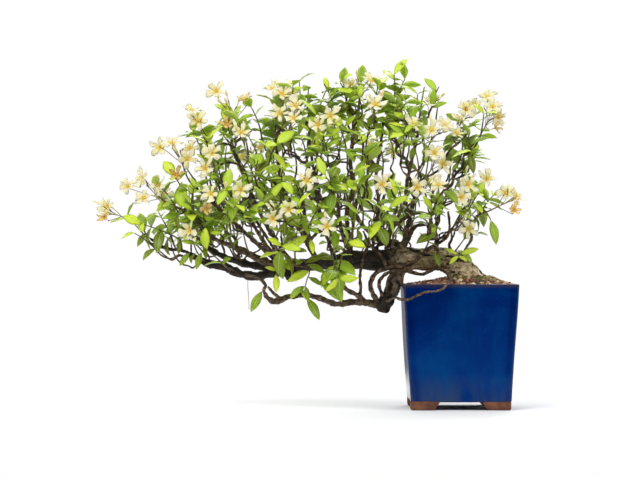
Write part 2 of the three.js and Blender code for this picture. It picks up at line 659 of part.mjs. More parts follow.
// Habit of a grown leaf and of the young pair at the end of a shoot: the least and the range of the
// angle to the shoot, of the length and of the droop, the sag, how the face turns to the end of the
// shoot and up, and the roll.
const GROWN = { spread: [0.95, 0.35], length: [25, 9], droop: [0.5, 0.8], sag: 0.3,
  faceAhead: 0.5, faceUp: 0.8, roll: 0.9 };
const YOUNG = { spread: [0.75, 0.3], length: [19, 8], droop: [0.2, 0.5], sag: 0.05,
  faceAhead: 1, faceUp: 0.2, roll: 0.3 };

// One leaf, spread from its shoot towards the side given and sagging under its own weight
function leafOn(root, ahead, aside, habit, turn, draws) {
  const [spread, length, droop] = [habit.spread, habit.length, habit.droop]
    .map(([least, range], index) => least + range * draws[index]);
  const out = aside.clone().applyAxisAngle(ahead, turn);
  const axis = ahead.clone().multiplyScalar(Math.cos(spread)).addScaledVector(out, Math.sin(spread));
  axis.z -= habit.sag;
  axis.normalize();
  const normal = ahead.clone().multiplyScalar(habit.faceAhead).addScaledVector(UP, habit.faceUp);
  normal.addScaledVector(axis, -normal.dot(axis)).normalize();
  normal.applyAxisAngle(axis, (draws[3] - 0.5) * habit.roll);
  return { root, axis, normal, length, droop };
}

const TURNS = [0, 0.45, -0.45, 0.9, -0.9, 1.35, -1.35];
const PAIRS = [0.24, 0.5, 0.76];

// Spray: a shoot with opposite pairs of leaves, each turned a quarter from the pair before it, and a
// young pair at its end. The shoot takes the first lean, and a leaf the first turn, that is clear.
function leafySpray(end) {
  const draw = chance(500 + end.index);
  const start = along(end.base, end.direction, SEAT_GAP);
  const shoots = Array.from({ length: 8 }, () => {
    const lean = vec(draw() - 0.5, draw() - 0.5, draw() * 0.6 - 0.1).multiplyScalar(0.9);
    const reach = end.direction.clone().add(lean).normalize();
    const curve = new THREE.QuadraticBezierCurve3(
      start, along(start, end.direction, SHOOT * 0.45), along(start, reach, SHOOT));
    const path = curve.getPoints(SHOOT_RADII.length - 1);
    return { curve, solid: solidOf(loft(tubeRings(path, SHOOT_RADII, 3))) };
  });
  const { curve, solid } = shoots.find((shoot) => isClear(end.name, shoot.solid));
  const parts = [solid];
  let out = vec(draw() - 0.5, draw() - 0.5, draw() - 0.5).cross(end.direction).normalize();
  for (const share of PAIRS) {
    const ahead = curve.getTangent(share);
    out = ahead.clone().cross(out).normalize();
    for (const hand of [1, -1]) {
      const draws = [draw(), draw(), draw(), draw()];
      const side = out.clone().multiplyScalar(hand);
      const leaf = TURNS.map((turn) => leafOn(curve.getPoint(share), ahead, side, GROWN, turn, draws))
        .find((one) => isClear(end.name, leafSolid(one, LEAF_CLEAR)));
      if (leaf) parts.push(leafSolid(leaf));
    }
  }
  const tip = curve.getPoint(1);
  const ahead = curve.getTangent(1);
  out = ahead.clone().cross(out).normalize();
  const draws = [[draw(), draw(), draw(), draw()], [draw(), draw(), draw(), draw()]];
  const pair = TURNS.map((turn) => [-1, 1].map((hand, index) =>
    leafOn(tip, ahead, out.clone().multiplyScalar(hand), YOUNG, turn, draws[index])))
    .find((both) => isClear(end.name, pairSolid(both, ahead, LEAF_CLEAR)));
  if (pair) parts.push(pairSolid(pair, ahead));
  parts.forEach((part) => remember(end.name, part));
  return joined(parts);
}

const makers = { bloom: bloomCluster, spray: leafySpray };
const finishes = {
  pot: { color: 0x0b3272, roughness: 0.18, metalness: 0 },
  soil: { color: 0x6b4a38, roughness: 0.95, metalness: 0 },
  trunk: { color: 0x4a392c, roughness: 0.85, metalness: 0 },
  bloom: { color: 0xf4ebc0, roughness: 0.6, metalness: 0 },
  spray: { color: 0x6f9a2c, roughness: 0.45, metalness: 0 },
};

const plant = new THREE.Group();

function addNode(name, kind, solid) {
  const mesh = new THREE.Mesh(geometryOf(solid), new THREE.MeshStandardMaterial(finishes[kind]));
  mesh.name = name;
  plant.add(mesh);
}

addNode("pot", "pot", pot);
addNode("soil", "soil", soil);
addNode("trunk", "trunk", trunk);
for (const kind of ["bloom", "spray"]) {
  for (const end of ends.filter((one) => one.kind === kind).sort((a, b) => a.index - b.index)) {
    addNode(end.name, kind, makers[kind](end));
  }
}

// The origin is under the middle of the whole, on the surface that the pot's feet stand on
const extent = new THREE.Box3().setFromObject(plant);
plant.position.set(-(extent.min.x + extent.max.x) / 2, -(extent.min.y + extent.max.y) / 2, 0);

export default plant;
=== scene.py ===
import math

import bmesh
import bpy
import numpy as np
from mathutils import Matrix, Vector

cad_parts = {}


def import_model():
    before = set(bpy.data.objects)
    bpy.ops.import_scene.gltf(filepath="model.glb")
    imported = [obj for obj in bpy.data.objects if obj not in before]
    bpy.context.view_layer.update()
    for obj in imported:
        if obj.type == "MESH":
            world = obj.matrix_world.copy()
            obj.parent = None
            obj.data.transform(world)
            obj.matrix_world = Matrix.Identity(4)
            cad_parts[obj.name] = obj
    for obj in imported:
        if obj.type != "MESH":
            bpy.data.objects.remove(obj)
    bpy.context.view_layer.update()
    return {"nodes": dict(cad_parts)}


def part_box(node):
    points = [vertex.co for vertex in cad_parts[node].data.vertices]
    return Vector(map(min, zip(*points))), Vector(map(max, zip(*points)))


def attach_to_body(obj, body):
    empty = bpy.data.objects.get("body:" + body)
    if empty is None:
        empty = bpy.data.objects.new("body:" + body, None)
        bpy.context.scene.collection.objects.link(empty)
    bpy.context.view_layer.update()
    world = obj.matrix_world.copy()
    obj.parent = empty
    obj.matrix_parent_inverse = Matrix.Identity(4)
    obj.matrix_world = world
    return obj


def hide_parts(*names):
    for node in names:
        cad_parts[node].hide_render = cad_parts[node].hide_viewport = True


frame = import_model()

# Camera: a long lens, almost level with the pot's rim and centred on the whole plant. Places are in
# millimetres from under the middle of the crown, with the pot to the right, as in the model's own
# source, and world() brings them into the frame's metres.
MM = 0.001
POT_X = 167
pot_low, pot_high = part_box("pot")
ORIGIN = np.array([(pot_low.x + pot_high.x) / 2 - POT_X * MM, (pot_low.y + pot_high.y) / 2, 0.0])
CAMERA_BACK = 2891
CAMERA_RISE = 172
AIM_RISE = 193.7
SEEN_WIDTH = 716.5


def world(places):
    return np.asarray(places, float) * MM + ORIGIN


camera = bpy.data.objects.new("camera", bpy.data.cameras.new("camera"))
bpy.context.scene.collection.objects.link(camera)
camera.location = world([0, -CAMERA_BACK, CAMERA_RISE])
camera.rotation_euler = (math.pi / 2 + math.atan2(AIM_RISE - CAMERA_RISE, CAMERA_BACK), 0, 0)
camera.data.sensor_width = 36
camera.data.lens = camera.data.sensor_width * CAMERA_BACK / SEEN_WIDTH
bpy.context.scene.camera = camera

# Studio: a pale paper floor that fades into an even white surround, with one broad soft light high on
# the left, a weaker one on the right and one behind, which shines through the leaves. The room is
# darker behind the camera, so that the glaze keeps its depth.
FLOOR_REACH = 1.6
FADE_START = 0.25
SURROUND = 1.0
FILL = 0.85
LAMP_AIM = Vector((0, 0, 0.2))
LAMPS = {
    "key": ((-0.9, -1.5, 1.9), 1.3, 32),
    "side": ((1.7, -0.9, 0.9), 1.0, 10),
    "back": ((0.3, 1.6, 1.5), 1.2, 22),
}


def node(tree, kind, inputs=None, **settings):
    """A new node with these settings, its inputs set to values or linked to sockets."""
    made = tree.nodes.new(kind)
    for name, value in settings.items():
        setattr(made, name, value)
    for key, value in (inputs or {}).items():
        if isinstance(value, bpy.types.NodeSocket):
            tree.links.new(value, made.inputs[key])
        else:
            made.inputs[key].default_value = value
    return made


def maths(tree, operation, *values):
    return node(tree, "ShaderNodeMath", dict(enumerate(values)), operation=operation).outputs[0]


def level(tree, value, low, high, to_low=0.0, to_high=1.0, **settings):
    made = node(tree, "ShaderNodeMapRange", {
        "Value": value, "From Min": low, "From Max": high, "To Min": to_low, "To Max": to_high}, **settings)
    return made.outputs[0]


def spot_on(tree, kind="Object"):
    return node(tree, "ShaderNodeTexCoord").outputs[kind]


def xyz(tree, vector):
    return node(tree, "ShaderNodeSeparateXYZ", {0: vector}).outputs


def finish(name, roughness, **constants):
    """A new finish: its tree, and its main shader with what is the same all over set on it."""
    made = bpy.data.materials.new(name)
    made.use_nodes = True
    shader = made.node_tree.nodes["Principled BSDF"]
    shader.inputs["Roughness"].default_value = roughness
    for label, value in constants.items():
        shader.inputs[label.replace("_", " ")].default_value = value
    return made, made.node_tree, shader


def new_piece(name, points, faces, material=None, edges=()):
    mesh = bpy.data.meshes.new(name)
    mesh.from_pydata(np.asarray(points).tolist(), list(edges), faces)
    made = bpy.data.objects.new(name, mesh)
    bpy.context.scene.collection.objects.link(made)
    if material:
        mesh.materials.append(material)
    if faces:
        mesh.shade_smooth()
    return made


sky = bpy.data.worlds.new("studio")
sky.use_nodes = True
bpy.context.scene.world = sky
tree = sky.node_tree
seen = node(tree, "ShaderNodeBackground", {"Color": (1, 1, 1, 1), "Strength": SURROUND})
heading = xyz(tree, spot_on(tree, "Generated"))
lift = level(tree, heading[2], -0.3, 0.7, 0.35)
front = level(tree, heading[1], -1.0, -0.4, 0.3)
behind = level(tree, heading[1], 0.8, 0.97, 1.0, 0.6)
strength = maths(tree, "MULTIPLY", maths(tree, "MULTIPLY", lift, front),
                 maths(tree, "MULTIPLY", behind, FILL))
unseen = node(tree, "ShaderNodeBackground", {"Color": (0.98, 0.985, 1, 1), "Strength": strength})
rays = node(tree, "ShaderNodeLightPath")
both = node(tree, "ShaderNodeMixShader", {
    0: rays.outputs["Is Camera Ray"], 1: unseen.outputs[0], 2: seen.outputs[0]})
tree.links.new(both.outputs[0], tree.nodes["World Output"].inputs["Surface"])
bpy.context.scene.view_settings.view_transform = "Standard"

for name, (place, size, power) in LAMPS.items():
    lamp = bpy.data.objects.new(name, bpy.data.lights.new(name, "AREA"))
    bpy.context.scene.collection.objects.link(lamp)
    lamp.data.size = size
    lamp.data.energy = power
    lamp.location = place
    lamp.rotation_euler = (LAMP_AIM - lamp.location).to_track_quat("-Z", "Y").to_euler()

paper, tree, shader = finish("floor_paper", 0.9, Base_Color=(0.9, 0.9, 0.9, 1))
away = node(tree, "ShaderNodeVectorMath", {0: spot_on(tree)}, operation="LENGTH").outputs["Value"]
fade = level(tree, away, FADE_START, FLOOR_REACH * 0.6, interpolation_type="SMOOTHSTEP")
clear = node(tree, "ShaderNodeBsdfTransparent")
sheet = node(tree, "ShaderNodeMixShader", {0: fade, 1: shader.outputs[0], 2: clear.outputs[0]})
tree.links.new(sheet.outputs[0], tree.nodes["Material Output"].inputs["Surface"])
corners = [(x * FLOOR_REACH, y * FLOOR_REACH, 0) for x, y in ((-1, -1), (1, -1), (1, 1), (-1, 1))]
new_piece("floor", corners, [(0, 1, 2, 3)], paper)

# Pot: one fired piece, square and tapered, with a thick flat rim and a drainage hole. It was dipped in
# a cobalt glaze, which runs thin and brown over its edges and pools paler and mottled on its faces.
POT_RIM = 130
POT_BASE = 114
POT_TOP = 142
POT_WALL = 6
POT_FLOOR = 7
POT_CORNER = 3.5
FOOT_RISE = 9
DRAIN_RADIUS = 8
DRAIN_PLATE = 22
RIM_ROUND = 1.3
BASE_ROUND = 2.2
FLOOR_ROUND = 5
WALL_ROWS = 36
EDGE_STEPS = 5
POT_SIDES = 160


def square_ring(half, corner, z, count=POT_SIDES):
    """Points round a square with rounded corners, a quarter of each side's points on its corner."""
    straight = half - corner
    share = count // 16
    points = []
    for quarter in range(4):
        turn = quarter * math.pi / 2
        middle = np.sign([math.cos(turn + math.pi / 4), math.sin(turn + math.pi / 4)]) * straight
        for step in range(share):
            angle = turn + step / share * math.pi / 2
            points.append(middle + corner * np.array([math.cos(angle), math.sin(angle)]))
        leave = np.array([-math.sin(turn), math.cos(turn)])
        way = np.array([-leave[1], leave[0]])
        for step in range(count // 4 - share):
            run = 2 * straight * step / (count // 4 - share)
            points.append(middle + corner * leave + way * run)
    flat = np.array(points)
    return np.column_stack([flat, np.full(len(flat), z)]) + [POT_X, 0, 0]


def loft(rings, closed=False):
    """Points and faces of a skin over rings of points. A ring of one point is a pole."""
    starts = np.cumsum([0] + [len(ring) for ring in rings])
    faces = []
    for row in range(len(rings) if closed else len(rings) - 1):
        after = (row + 1) % len(rings)
        low, high = len(rings[row]), len(rings[after])
        for side in range(max(low, high)):
            a, b = (int(starts[row]) + (side + step) % low for step in (0, 1))
            d, c = (int(starts[after]) + (side + step) % high for step in (0, 1))
            faces.append([a, c, d] if low == 1 else [a, b, c] if high == 1 else [a, b, c, d])
    return np.concatenate(rings), faces


def attach(piece, name, values, kind="FLOAT"):
    """Stores a value for each vertex under a name, for the finishes and the trees to read."""
    layer = piece.data.attributes.new(name, kind, "POINT")
    values = np.asarray(values, np.float32).ravel()
    layer.data.foreach_set("vector" if kind == "FLOAT_VECTOR" else "value", values)


def round_off(centre_half, centre_z, radius, start, end):
    """(half width, z) along a quarter turn that rounds an edge off, in degrees from outwards."""
    angles = np.radians(np.linspace(start, end, EDGE_STEPS))
    return [(centre_half + radius * math.cos(a), centre_z + radius * math.sin(a)) for a in angles]


def pot_half(z):
    return (POT_BASE + (POT_RIM - POT_BASE) * (z - FOOT_RISE) / (POT_TOP - FOOT_RISE)) / 2


floor_top = FOOT_RISE + POT_FLOOR
low_wall, high_wall = FOOT_RISE + BASE_ROUND, POT_TOP - RIM_ROUND
profile = round_off(pot_half(low_wall) - BASE_ROUND, low_wall, BASE_ROUND, -90, -10)
profile += [(pot_half(z), z) for z in np.linspace(low_wall, high_wall, WALL_ROWS)]
profile += round_off(pot_half(high_wall) - RIM_ROUND, high_wall, RIM_ROUND, 10, 90)
profile += round_off(pot_half(high_wall) - POT_WALL + RIM_ROUND, high_wall, RIM_ROUND, 90, 180)
profile += [(pot_half(z) - POT_WALL, z) for z in np.linspace(high_wall - 2, floor_top + FLOOR_ROUND, 8)]
profile += round_off(
    pot_half(floor_top) - POT_WALL - FLOOR_ROUND, floor_top + FLOOR_ROUND, FLOOR_ROUND, 0, -90)
pot_rings = [square_ring(half, min(POT_CORNER + max(0, 0.2 * (z - high_wall)), half), z)
             for half, z in profile]
for radius, z in (
        (DRAIN_PLATE, floor_top), (DRAIN_RADIUS + 1, floor_top), (DRAIN_RADIUS, floor_top - 1),
        (DRAIN_RADIUS, FOOT_RISE + 1), (DRAIN_RADIUS + 1, FOOT_RISE), (DRAIN_PLATE, FOOT_RISE)):
    pot_rings.append(square_ring(radius, radius - 0.01, z))
points, faces = loft(pot_rings, closed=True)

# A hand-pressed wall is never quite true: its faces swell and sink by a few tenths of a millimetre
local = points - [POT_X, 0, 0]
wave = (0.28 * np.sin(local[:, 2] / 21 + local[:, 0] / 33)
        + 0.22 * np.sin(local[:, 1] / 27 - local[:, 2] / 36))
reach = np.abs(local[:, :2])
from_middle = reach.max(axis=1)
is_wall = from_middle > POT_BASE / 2 - POT_WALL
points[:, :2] += local[:, :2] / np.maximum(from_middle, 1)[:, None] * (wave * is_wall)[:, None]
from_corner = np.abs(reach[:, 0] - reach[:, 1])
from_rim = np.where(local[:, 2] > high_wall, 0, high_wall - local[:, 2])
from_base = np.abs(local[:, 2] - FOOT_RISE)
thinness = np.maximum.reduce([
    np.exp(-(from_corner / 1.3) ** 2), np.exp(-(from_rim / 0.9) ** 2),
    0.7 * np.exp(-(from_base / 1.4) ** 2)])
pooling = np.exp(-((from_corner - 6) / 3.5) ** 2) * (local[:, 2] < high_wall)


def ramp(tree, factor, *stops):
    """Colours along a factor, from stops of (place, colour)."""
    made = node(tree, "ShaderNodeValToRGB", {"Fac": factor})
    while len(made.color_ramp.elements) < len(stops):
        made.color_ramp.elements.new(0.5)
    for element, (place, colour) in zip(made.color_ramp.elements, stops):
        element.position = place
        element.color = (*colour, 1)
    return made.outputs["Color"]


def blend(tree, factor, low, high):
    """A mix of two colours, each a socket or three numbers."""
    low, high = (one if isinstance(one, bpy.types.NodeSocket) else (*one, 1) for one in (low, high))
    return node(tree, "ShaderNodeMix", {0: factor, 6: low, 7: high}, data_type="RGBA").outputs[2]


def noise(tree, scale, detail=3, roughness=0.5, stretch=None, distortion=0.0):
    """A noise pattern on the piece, with its scale as waves to the metre."""
    place = spot_on(tree)
    if stretch:
        place = node(tree, "ShaderNodeMapping", {"Vector": place, "Scale": stretch}).outputs[0]
    made = node(tree, "ShaderNodeTexNoise", {
        "Vector": place, "Scale": scale, "Detail": detail, "Roughness": roughness,
        "Distortion": distortion})
    return made.outputs["Fac"]


def paint(tree, shader, colour):
    tree.links.new(colour, shader.inputs["Base Color"])


def bump(tree, shader, height, depth, strength):
    made = node(tree, "ShaderNodeBump", {"Height": height, "Distance": depth, "Strength": strength})
    tree.links.new(made.outputs[0], shader.inputs["Normal"])


def stored(tree, name, kind="Fac"):
    return node(tree, "ShaderNodeAttribute", attribute_name=name).outputs[kind]


glaze, tree, shader = finish("cobalt_glaze", 0.16, Specular_Tint=(0.05, 0.22, 1, 1))
cloud = noise(tree, 11, 4, 0.6, distortion=0.6)
speck = noise(tree, 420, 2, 0.6)
streak = noise(tree, 60, 3, 0.5, stretch=(1, 1, 0.22))
blue = ramp(tree, cloud, (0.3, (0.0, 0.011, 0.095)), (0.48, (0.0, 0.018, 0.125)),
            (0.6, (0.0, 0.03, 0.145)), (0.75, (0.0, 0.045, 0.16)))
blue = blend(tree, level(tree, speck, 0.52, 0.75, 0, 0.25), blue, (0.001, 0.055, 0.18))
blue = blend(tree, level(tree, streak, 0.52, 0.75, 0, 0.35), blue, (0.0, 0.007, 0.06))
deep = maths(tree, "MULTIPLY", stored(tree, "pooling"), level(tree, noise(tree, 18, 2), 0.35, 0.6, 0.2, 0.9))
blue = blend(tree, deep, blue, (0.0, 0.003, 0.055))
low_down = level(tree, xyz(tree, spot_on(tree))[2], 0.042, 0.012)
foot_haze = maths(tree, "MULTIPLY", low_down, level(tree, streak, 0.35, 0.6))
blue = blend(tree, maths(tree, "MULTIPLY", foot_haze, 0.6), blue, (0.045, 0.062, 0.085))
patchy = level(tree, noise(tree, 160, 3), 0.3, 0.6, 0.45, 1.0)
thin = maths(tree, "MULTIPLY", stored(tree, "thinness"), patchy)
paint(tree, shader, blend(tree, thin, blue, (0.045, 0.035, 0.032)))
rough = maths(tree, "ADD", maths(tree, "MULTIPLY", thin, 0.22), level(tree, cloud, 0.3, 0.7, 0.1, 0.2))
tree.links.new(rough, shader.inputs["Roughness"])
dimple = maths(tree, "ADD", noise(tree, 45, 2), maths(tree, "MULTIPLY", speck, 0.08))
bump(tree, shader, dimple, 0.0011, 0.35)

pot = new_piece("pot_glazed", world(points), faces, glaze)
attach(pot, "thinness", thinness)
attach(pot, "pooling", pooling)
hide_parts("pot")
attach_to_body(pot, "root")

# Feet: a block of the same clay under each corner, left unglazed, with its inner sides cut on a slant
# and its corners and lower edges rounded.
FOOT_WIDE = 33
FOOT_NARROW = 27
FOOT_EDGE = 1.6
FOOT_CORNER = 3.0
FOOT_SHY = 0.4
FOOT_SIDES = 48

clay, tree, shader = finish("bare_clay", 0.8)
fired = ramp(tree, noise(tree, 70, 4, 0.6), (0.3, (0.07, 0.02, 0.009)), (0.5, (0.13, 0.042, 0.018)),
             (0.7, (0.2, 0.085, 0.04)))
sooted = level(tree, noise(tree, 28, 2), 0.55, 0.7, 0, 0.6)
paint(tree, shader, blend(tree, sooted, fired, (0.05, 0.025, 0.02)))
bump(tree, shader, noise(tree, 900, 3, 0.7), 0.0004, 0.6)


def capped(rings):
    """Points and faces of a skin whose first and last ring close to a point."""
    first, last = (ring.mean(axis=0, keepdims=True) for ring in (rings[0], rings[-1]))
    return loft([first, *rings, last])


def joined(parts):
    """Several skins, each as points and faces, as one."""
    points, faces = [], []
    for own_points, own_faces in parts:
        faces += [[len(points) + corner for corner in face] for face in own_faces]
        points += list(own_points)
    return np.array(points), faces


def foot_ring(side_x, side_y, wide, inset, z):
    """A rounded square under one corner, from its width and how far its edge is drawn in."""
    outer = POT_BASE / 2 - FOOT_SHY - inset
    inner = POT_BASE / 2 - FOOT_SHY - wide + inset
    ring = square_ring((outer - inner) / 2, FOOT_CORNER, z, FOOT_SIDES)
    return ring + [side_x * (outer + inner) / 2, side_y * (outer + inner) / 2, 0]


foot_rows = [(FOOT_NARROW, FOOT_EDGE + 3, 0), (FOOT_NARROW, FOOT_EDGE, 0),
             (FOOT_NARROW, FOOT_EDGE * 0.35, FOOT_EDGE * 0.4), (FOOT_NARROW + 0.8, 0, FOOT_EDGE * 1.2)]
for z in (4, 6.5, FOOT_RISE + 1):
    foot_rows.append((FOOT_NARROW + (FOOT_WIDE - FOOT_NARROW) * z / FOOT_RISE, 0, z))
points, faces = joined([capped([foot_ring(side_x, side_y, *row) for row in foot_rows])
                        for side_x in (-1, 1) for side_y in (-1, 1)])
feet = new_piece("pot_feet", world(points), faces, clay)
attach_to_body(feet, "root")

# Soil: packed earth that fills the pot and mounds up against the trunk, with grains of fired clay and
# paler grit lying loose on top.
MOUND_X = 182
MOUND_RISE = 10
MOUND_SPREAD = 34
WALL_SLOPE = 20
SOIL_SHY = 2.6
SOIL_ROUGH = 0.56
SEAT_GAP = 0.3
SOIL_ROWS = 34
SOIL_SIDES = 160
PEBBLE_SEED = 4
PEBBLE_KNOCKS = 0.34


def soil_level(x, y):
    mound = MOUND_RISE * np.exp(-((x - MOUND_X) ** 2 + y ** 2) / (2 * MOUND_SPREAD ** 2))
    from_wall = pot_half(POT_TOP) - POT_WALL - np.maximum(np.abs(x - POT_X), np.abs(y))
    mound = mound * np.clip(from_wall / WALL_SLOPE, 0, 1)
    rough = np.sin(x * 0.83 + 1.7 * np.sin(y * 0.31)) + np.cos(y * 0.91 + 1.3 * np.sin(x * 0.27))
    return POT_TOP - SOIL_SHY + mound + rough * SOIL_ROUGH


soil_bottom = floor_top + SEAT_GAP
soil_halves = [pot_half(z) - POT_WALL - SEAT_GAP for z in (soil_bottom, POT_TOP - 3)]
top_rings = []
for row in range(SOIL_ROWS):
    half = soil_halves[1] * (1 - row / SOIL_ROWS)
    ring = square_ring(half, min(3, half * 0.6), 0, SOIL_SIDES)
    ring[:, 2] = soil_level(ring[:, 0], ring[:, 1])
    top_rings.append(ring)
middle = np.array([[POT_X, 0, soil_level(POT_X, 0)]])
bottom_middle = np.array([[POT_X, 0, soil_bottom]])
bottom_ring = square_ring(soil_halves[0], 3, soil_bottom, SOIL_SIDES)
points, faces = loft([bottom_middle, bottom_ring, *top_rings, middle])

earth, tree, shader = finish("packed_earth", 0.95)
dirt = ramp(tree, noise(tree, 260, 4, 0.65), (0.3, (0.03, 0.017, 0.012)), (0.55, (0.09, 0.05, 0.034)),
            (0.75, (0.17, 0.105, 0.07)))
paint(tree, shader, dirt)
bump(tree, shader, noise(tree, 700, 4, 0.7), 0.0012, 0.9)
soil = new_piece("soil_bed", world(points), faces, earth)
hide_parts("soil")
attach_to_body(soil, "root")


def new_tree(name, **inputs):
    """A Geometry Nodes tree with these inputs besides its geometry, and its inputs' sockets."""
    tree = bpy.data.node_groups.new(name, "GeometryNodeTree")
    for label, kind in {"Geometry": "Geometry", **inputs}.items():
        tree.interface.new_socket(label, in_out="INPUT", socket_type="NodeSocket" + kind)
    tree.interface.new_socket("Geometry", in_out="OUTPUT", socket_type="NodeSocketGeometry")
    return tree, tree.nodes.new("NodeGroupInput").outputs


def close_tree(tree, geometry, material, **moved):
    """The end of every tree: points moved, copies made real, faces smooth and the finish set."""
    if moved:
        geometry = node(tree, "GeometryNodeSetPosition", {"Geometry": geometry, **moved}).outputs[0]
    real = node(tree, "GeometryNodeRealizeInstances", {"Geometry": geometry})
    smooth = node(tree, "GeometryNodeSetShadeSmooth", {0: real.outputs[0]})
    done = node(tree, "GeometryNodeSetMaterial", {"Geometry": smooth.outputs[0], "Material": material})
    tree.links.new(done.outputs[0], tree.nodes.new("NodeGroupOutput").inputs[0])


def grown(name, source, tree, **values):
    """The plain mesh that a tree makes from a source and maybe a template, which are used up."""
    modifier = source.modifiers.new(name, "NODES")
    modifier.node_group = tree
    for item in tree.interface.items_tree:
        if item.in_out == "INPUT" and item.name in values:
            modifier[item.identifier] = values[item.name]
    source.update_tag()
    depsgraph = bpy.context.evaluated_depsgraph_get()
    depsgraph.update()
    mesh = bpy.data.meshes.new_from_object(
        source.evaluated_get(depsgraph), preserve_all_data_layers=True, depsgraph=depsgraph)
    source.modifiers.remove(modifier)
    for used in [source] + [value for value in values.values() if isinstance(value, bpy.types.Object)]:
        bpy.data.objects.remove(used)
    made = bpy.data.objects.new(name, mesh)
    mesh.name = name
    bpy.context.scene.collection.objects.link(made)
    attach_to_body(made, "root")
    return made


def named(tree, label, kind="FLOAT"):
    return node(tree, "GeometryNodeInputNamedAttribute", {"Name": label}, data_type=kind).outputs[0]


def vector(tree, operation, *values, scale=None):
    inputs = dict(enumerate(values))
    if scale is not None:
        inputs["Scale"] = scale
    return node(tree, "ShaderNodeVectorMath", inputs, operation=operation).outputs[0]


def copies_on(tree, points, template, **placing):
    """Copies of a template object on points."""
    shape = node(tree, "GeometryNodeObjectInfo", {"Object": template}).outputs["Geometry"]
    held = node(tree, "GeometryNodeInstanceOnPoints", {"Points": points, "Instance": shape, **placing})
    return held.outputs[0]


scatter, given = new_tree(
    "scattered_pieces", Density="Float", Piece="Object", Least="Float", Greatest="Float",
    Raise="Float", Tilt="Float", Seed="Int", Finish="Material")
spots = node(scatter, "GeometryNodeDistributePointsOnFaces", {
    "Mesh": given["Geometry"], "Seed": given["Seed"],
    "Density": maths(scatter, "MULTIPLY", given["Density"], named(scatter, "cover"))})
toned = node(scatter, "GeometryNodeStoreNamedAttribute", {
    "Geometry": spots.outputs[0], "Name": "tone",
    "Value": node(scatter, "FunctionNodeRandomValue", {"Seed": 5}).outputs[1]})
spin = node(scatter, "FunctionNodeRandomValue", {0: (-math.pi,) * 3, 1: (math.pi,) * 3, "Seed": 7},
            data_type="FLOAT_VECTOR")
tipping = node(scatter, "ShaderNodeCombineXYZ", {0: given["Tilt"], 1: given["Tilt"], 2: 1.0})
turned = node(scatter, "FunctionNodeRotateRotation", {
    0: spots.outputs["Rotation"], 1: vector(scatter, "MULTIPLY", spin.outputs[0], tipping.outputs[0])},
    rotation_space="LOCAL")
size = node(scatter, "FunctionNodeRandomValue", {2: given["Least"], 3: given["Greatest"], "Seed": 11})
squeeze = node(scatter, "FunctionNodeRandomValue", {0: (0.75, 0.75, 0.6), 1: (1.25, 1.25, 1.0), "Seed": 13},
               data_type="FLOAT_VECTOR")
lifted = node(scatter, "GeometryNodeSetPosition", {
    "Geometry": toned.outputs[0],
    "Offset": node(scatter, "ShaderNodeCombineXYZ", {2: given["Raise"]}).outputs[0]})
copies = copies_on(scatter, lifted.outputs[0], given["Piece"], Rotation=turned.outputs[0],
                   Scale=vector(scatter, "SCALE", squeeze.outputs[0], scale=size.outputs[1]))
close_tree(scatter, copies, given["Finish"])

top_points, top_faces = loft([*top_rings[1:], middle])


def soil_top(cover):
    """The soil's surface again, with how thickly each place is covered, to scatter things on."""
    made = new_piece("soil_top", world(top_points), top_faces)
    attach(made, "cover", cover)
    return made


grit, tree, shader = finish("clay_grains", 0.9)
grain = ramp(tree, stored(tree, "tone"), (0.0, (0.035, 0.013, 0.009)), (0.22, (0.15, 0.05, 0.03)),
             (0.5, (0.31, 0.12, 0.07)), (0.72, (0.42, 0.21, 0.12)), (0.86, (0.58, 0.4, 0.2)),
             (1.0, (0.75, 0.66, 0.38)))
worn = blend(tree, level(tree, noise(tree, 900, 3), 0.45, 0.75, 0, 0.45), grain, (0.035, 0.02, 0.015))
paint(tree, shader, worn)
bump(tree, shader, noise(tree, 1500, 3, 0.7), 0.0005, 0.8)


def pebble():
    """A grain one unit across: a ball of a few faces, its corners knocked in and out."""
    made = new_piece("pebble", [], [])
    shape = bmesh.new()
    bmesh.ops.create_icosphere(shape, subdivisions=2, radius=0.5)
    draw = np.random.default_rng(PEBBLE_SEED)
    for vertex in shape.verts:
        vertex.co *= 1 + PEBBLE_KNOCKS * (draw.random() - 0.5)
    shape.to_mesh(made.data)
    shape.free()
    return made


grains = grown("soil_grains", soil_top(np.ones(len(top_points))), scatter, Density=105000.0,
               Piece=pebble(), Least=0.0026, Greatest=0.006, Raise=0.0006, Tilt=1.0, Seed=3, Finish=grit)

# Moss: cushions of soft green sprigs that grew over the grains round the trunk's foot and dry to straw
# yellow on the pot's right. Each sprig is a whorl of pointed blades on a short stem.
MOSS_SPOTS = [(168, -22, 9, 1.0), (186, -24, 7, 0.9), (160, 4, 8, 0.6), (200, -30, 10, 0.5),
              (208, -12, 9, 0.45), (206, 12, 12, 0.5), (178, 30, 10, 0.8), (150, 22, 9, 0.6)]
SPRIG_BLADES = 6
SPRIG_TWIST = 1.6
BLADE_FACES = [(0, 4, 3, 1), (4, 5, 3), (0, 2, 4), (2, 5, 4), (1, 3, 2), (3, 5, 2), (0, 1, 2)]


def sprig():
    blades = []
    for blade in range(SPRIG_BLADES):
        turn = blade * math.tau / SPRIG_BLADES * SPRIG_TWIST
        way = np.array([math.cos(turn), math.sin(turn), 0])
        side = np.array([-math.sin(turn), math.cos(turn), 0])
        base = np.array([0, 0, 0.15 + 0.1 * blade])
        tip = base + way * 0.34 + [0, 0, 0.42]
        middle = (base + tip) / 2 + way * 0.05
        blades.append(([base - side * 0.07, base + side * 0.07, base - way * 0.05 - [0, 0, 0.05],
                        middle + side * 0.05, middle - side * 0.05, tip], BLADE_FACES))
    return new_piece("sprig", *joined(blades))


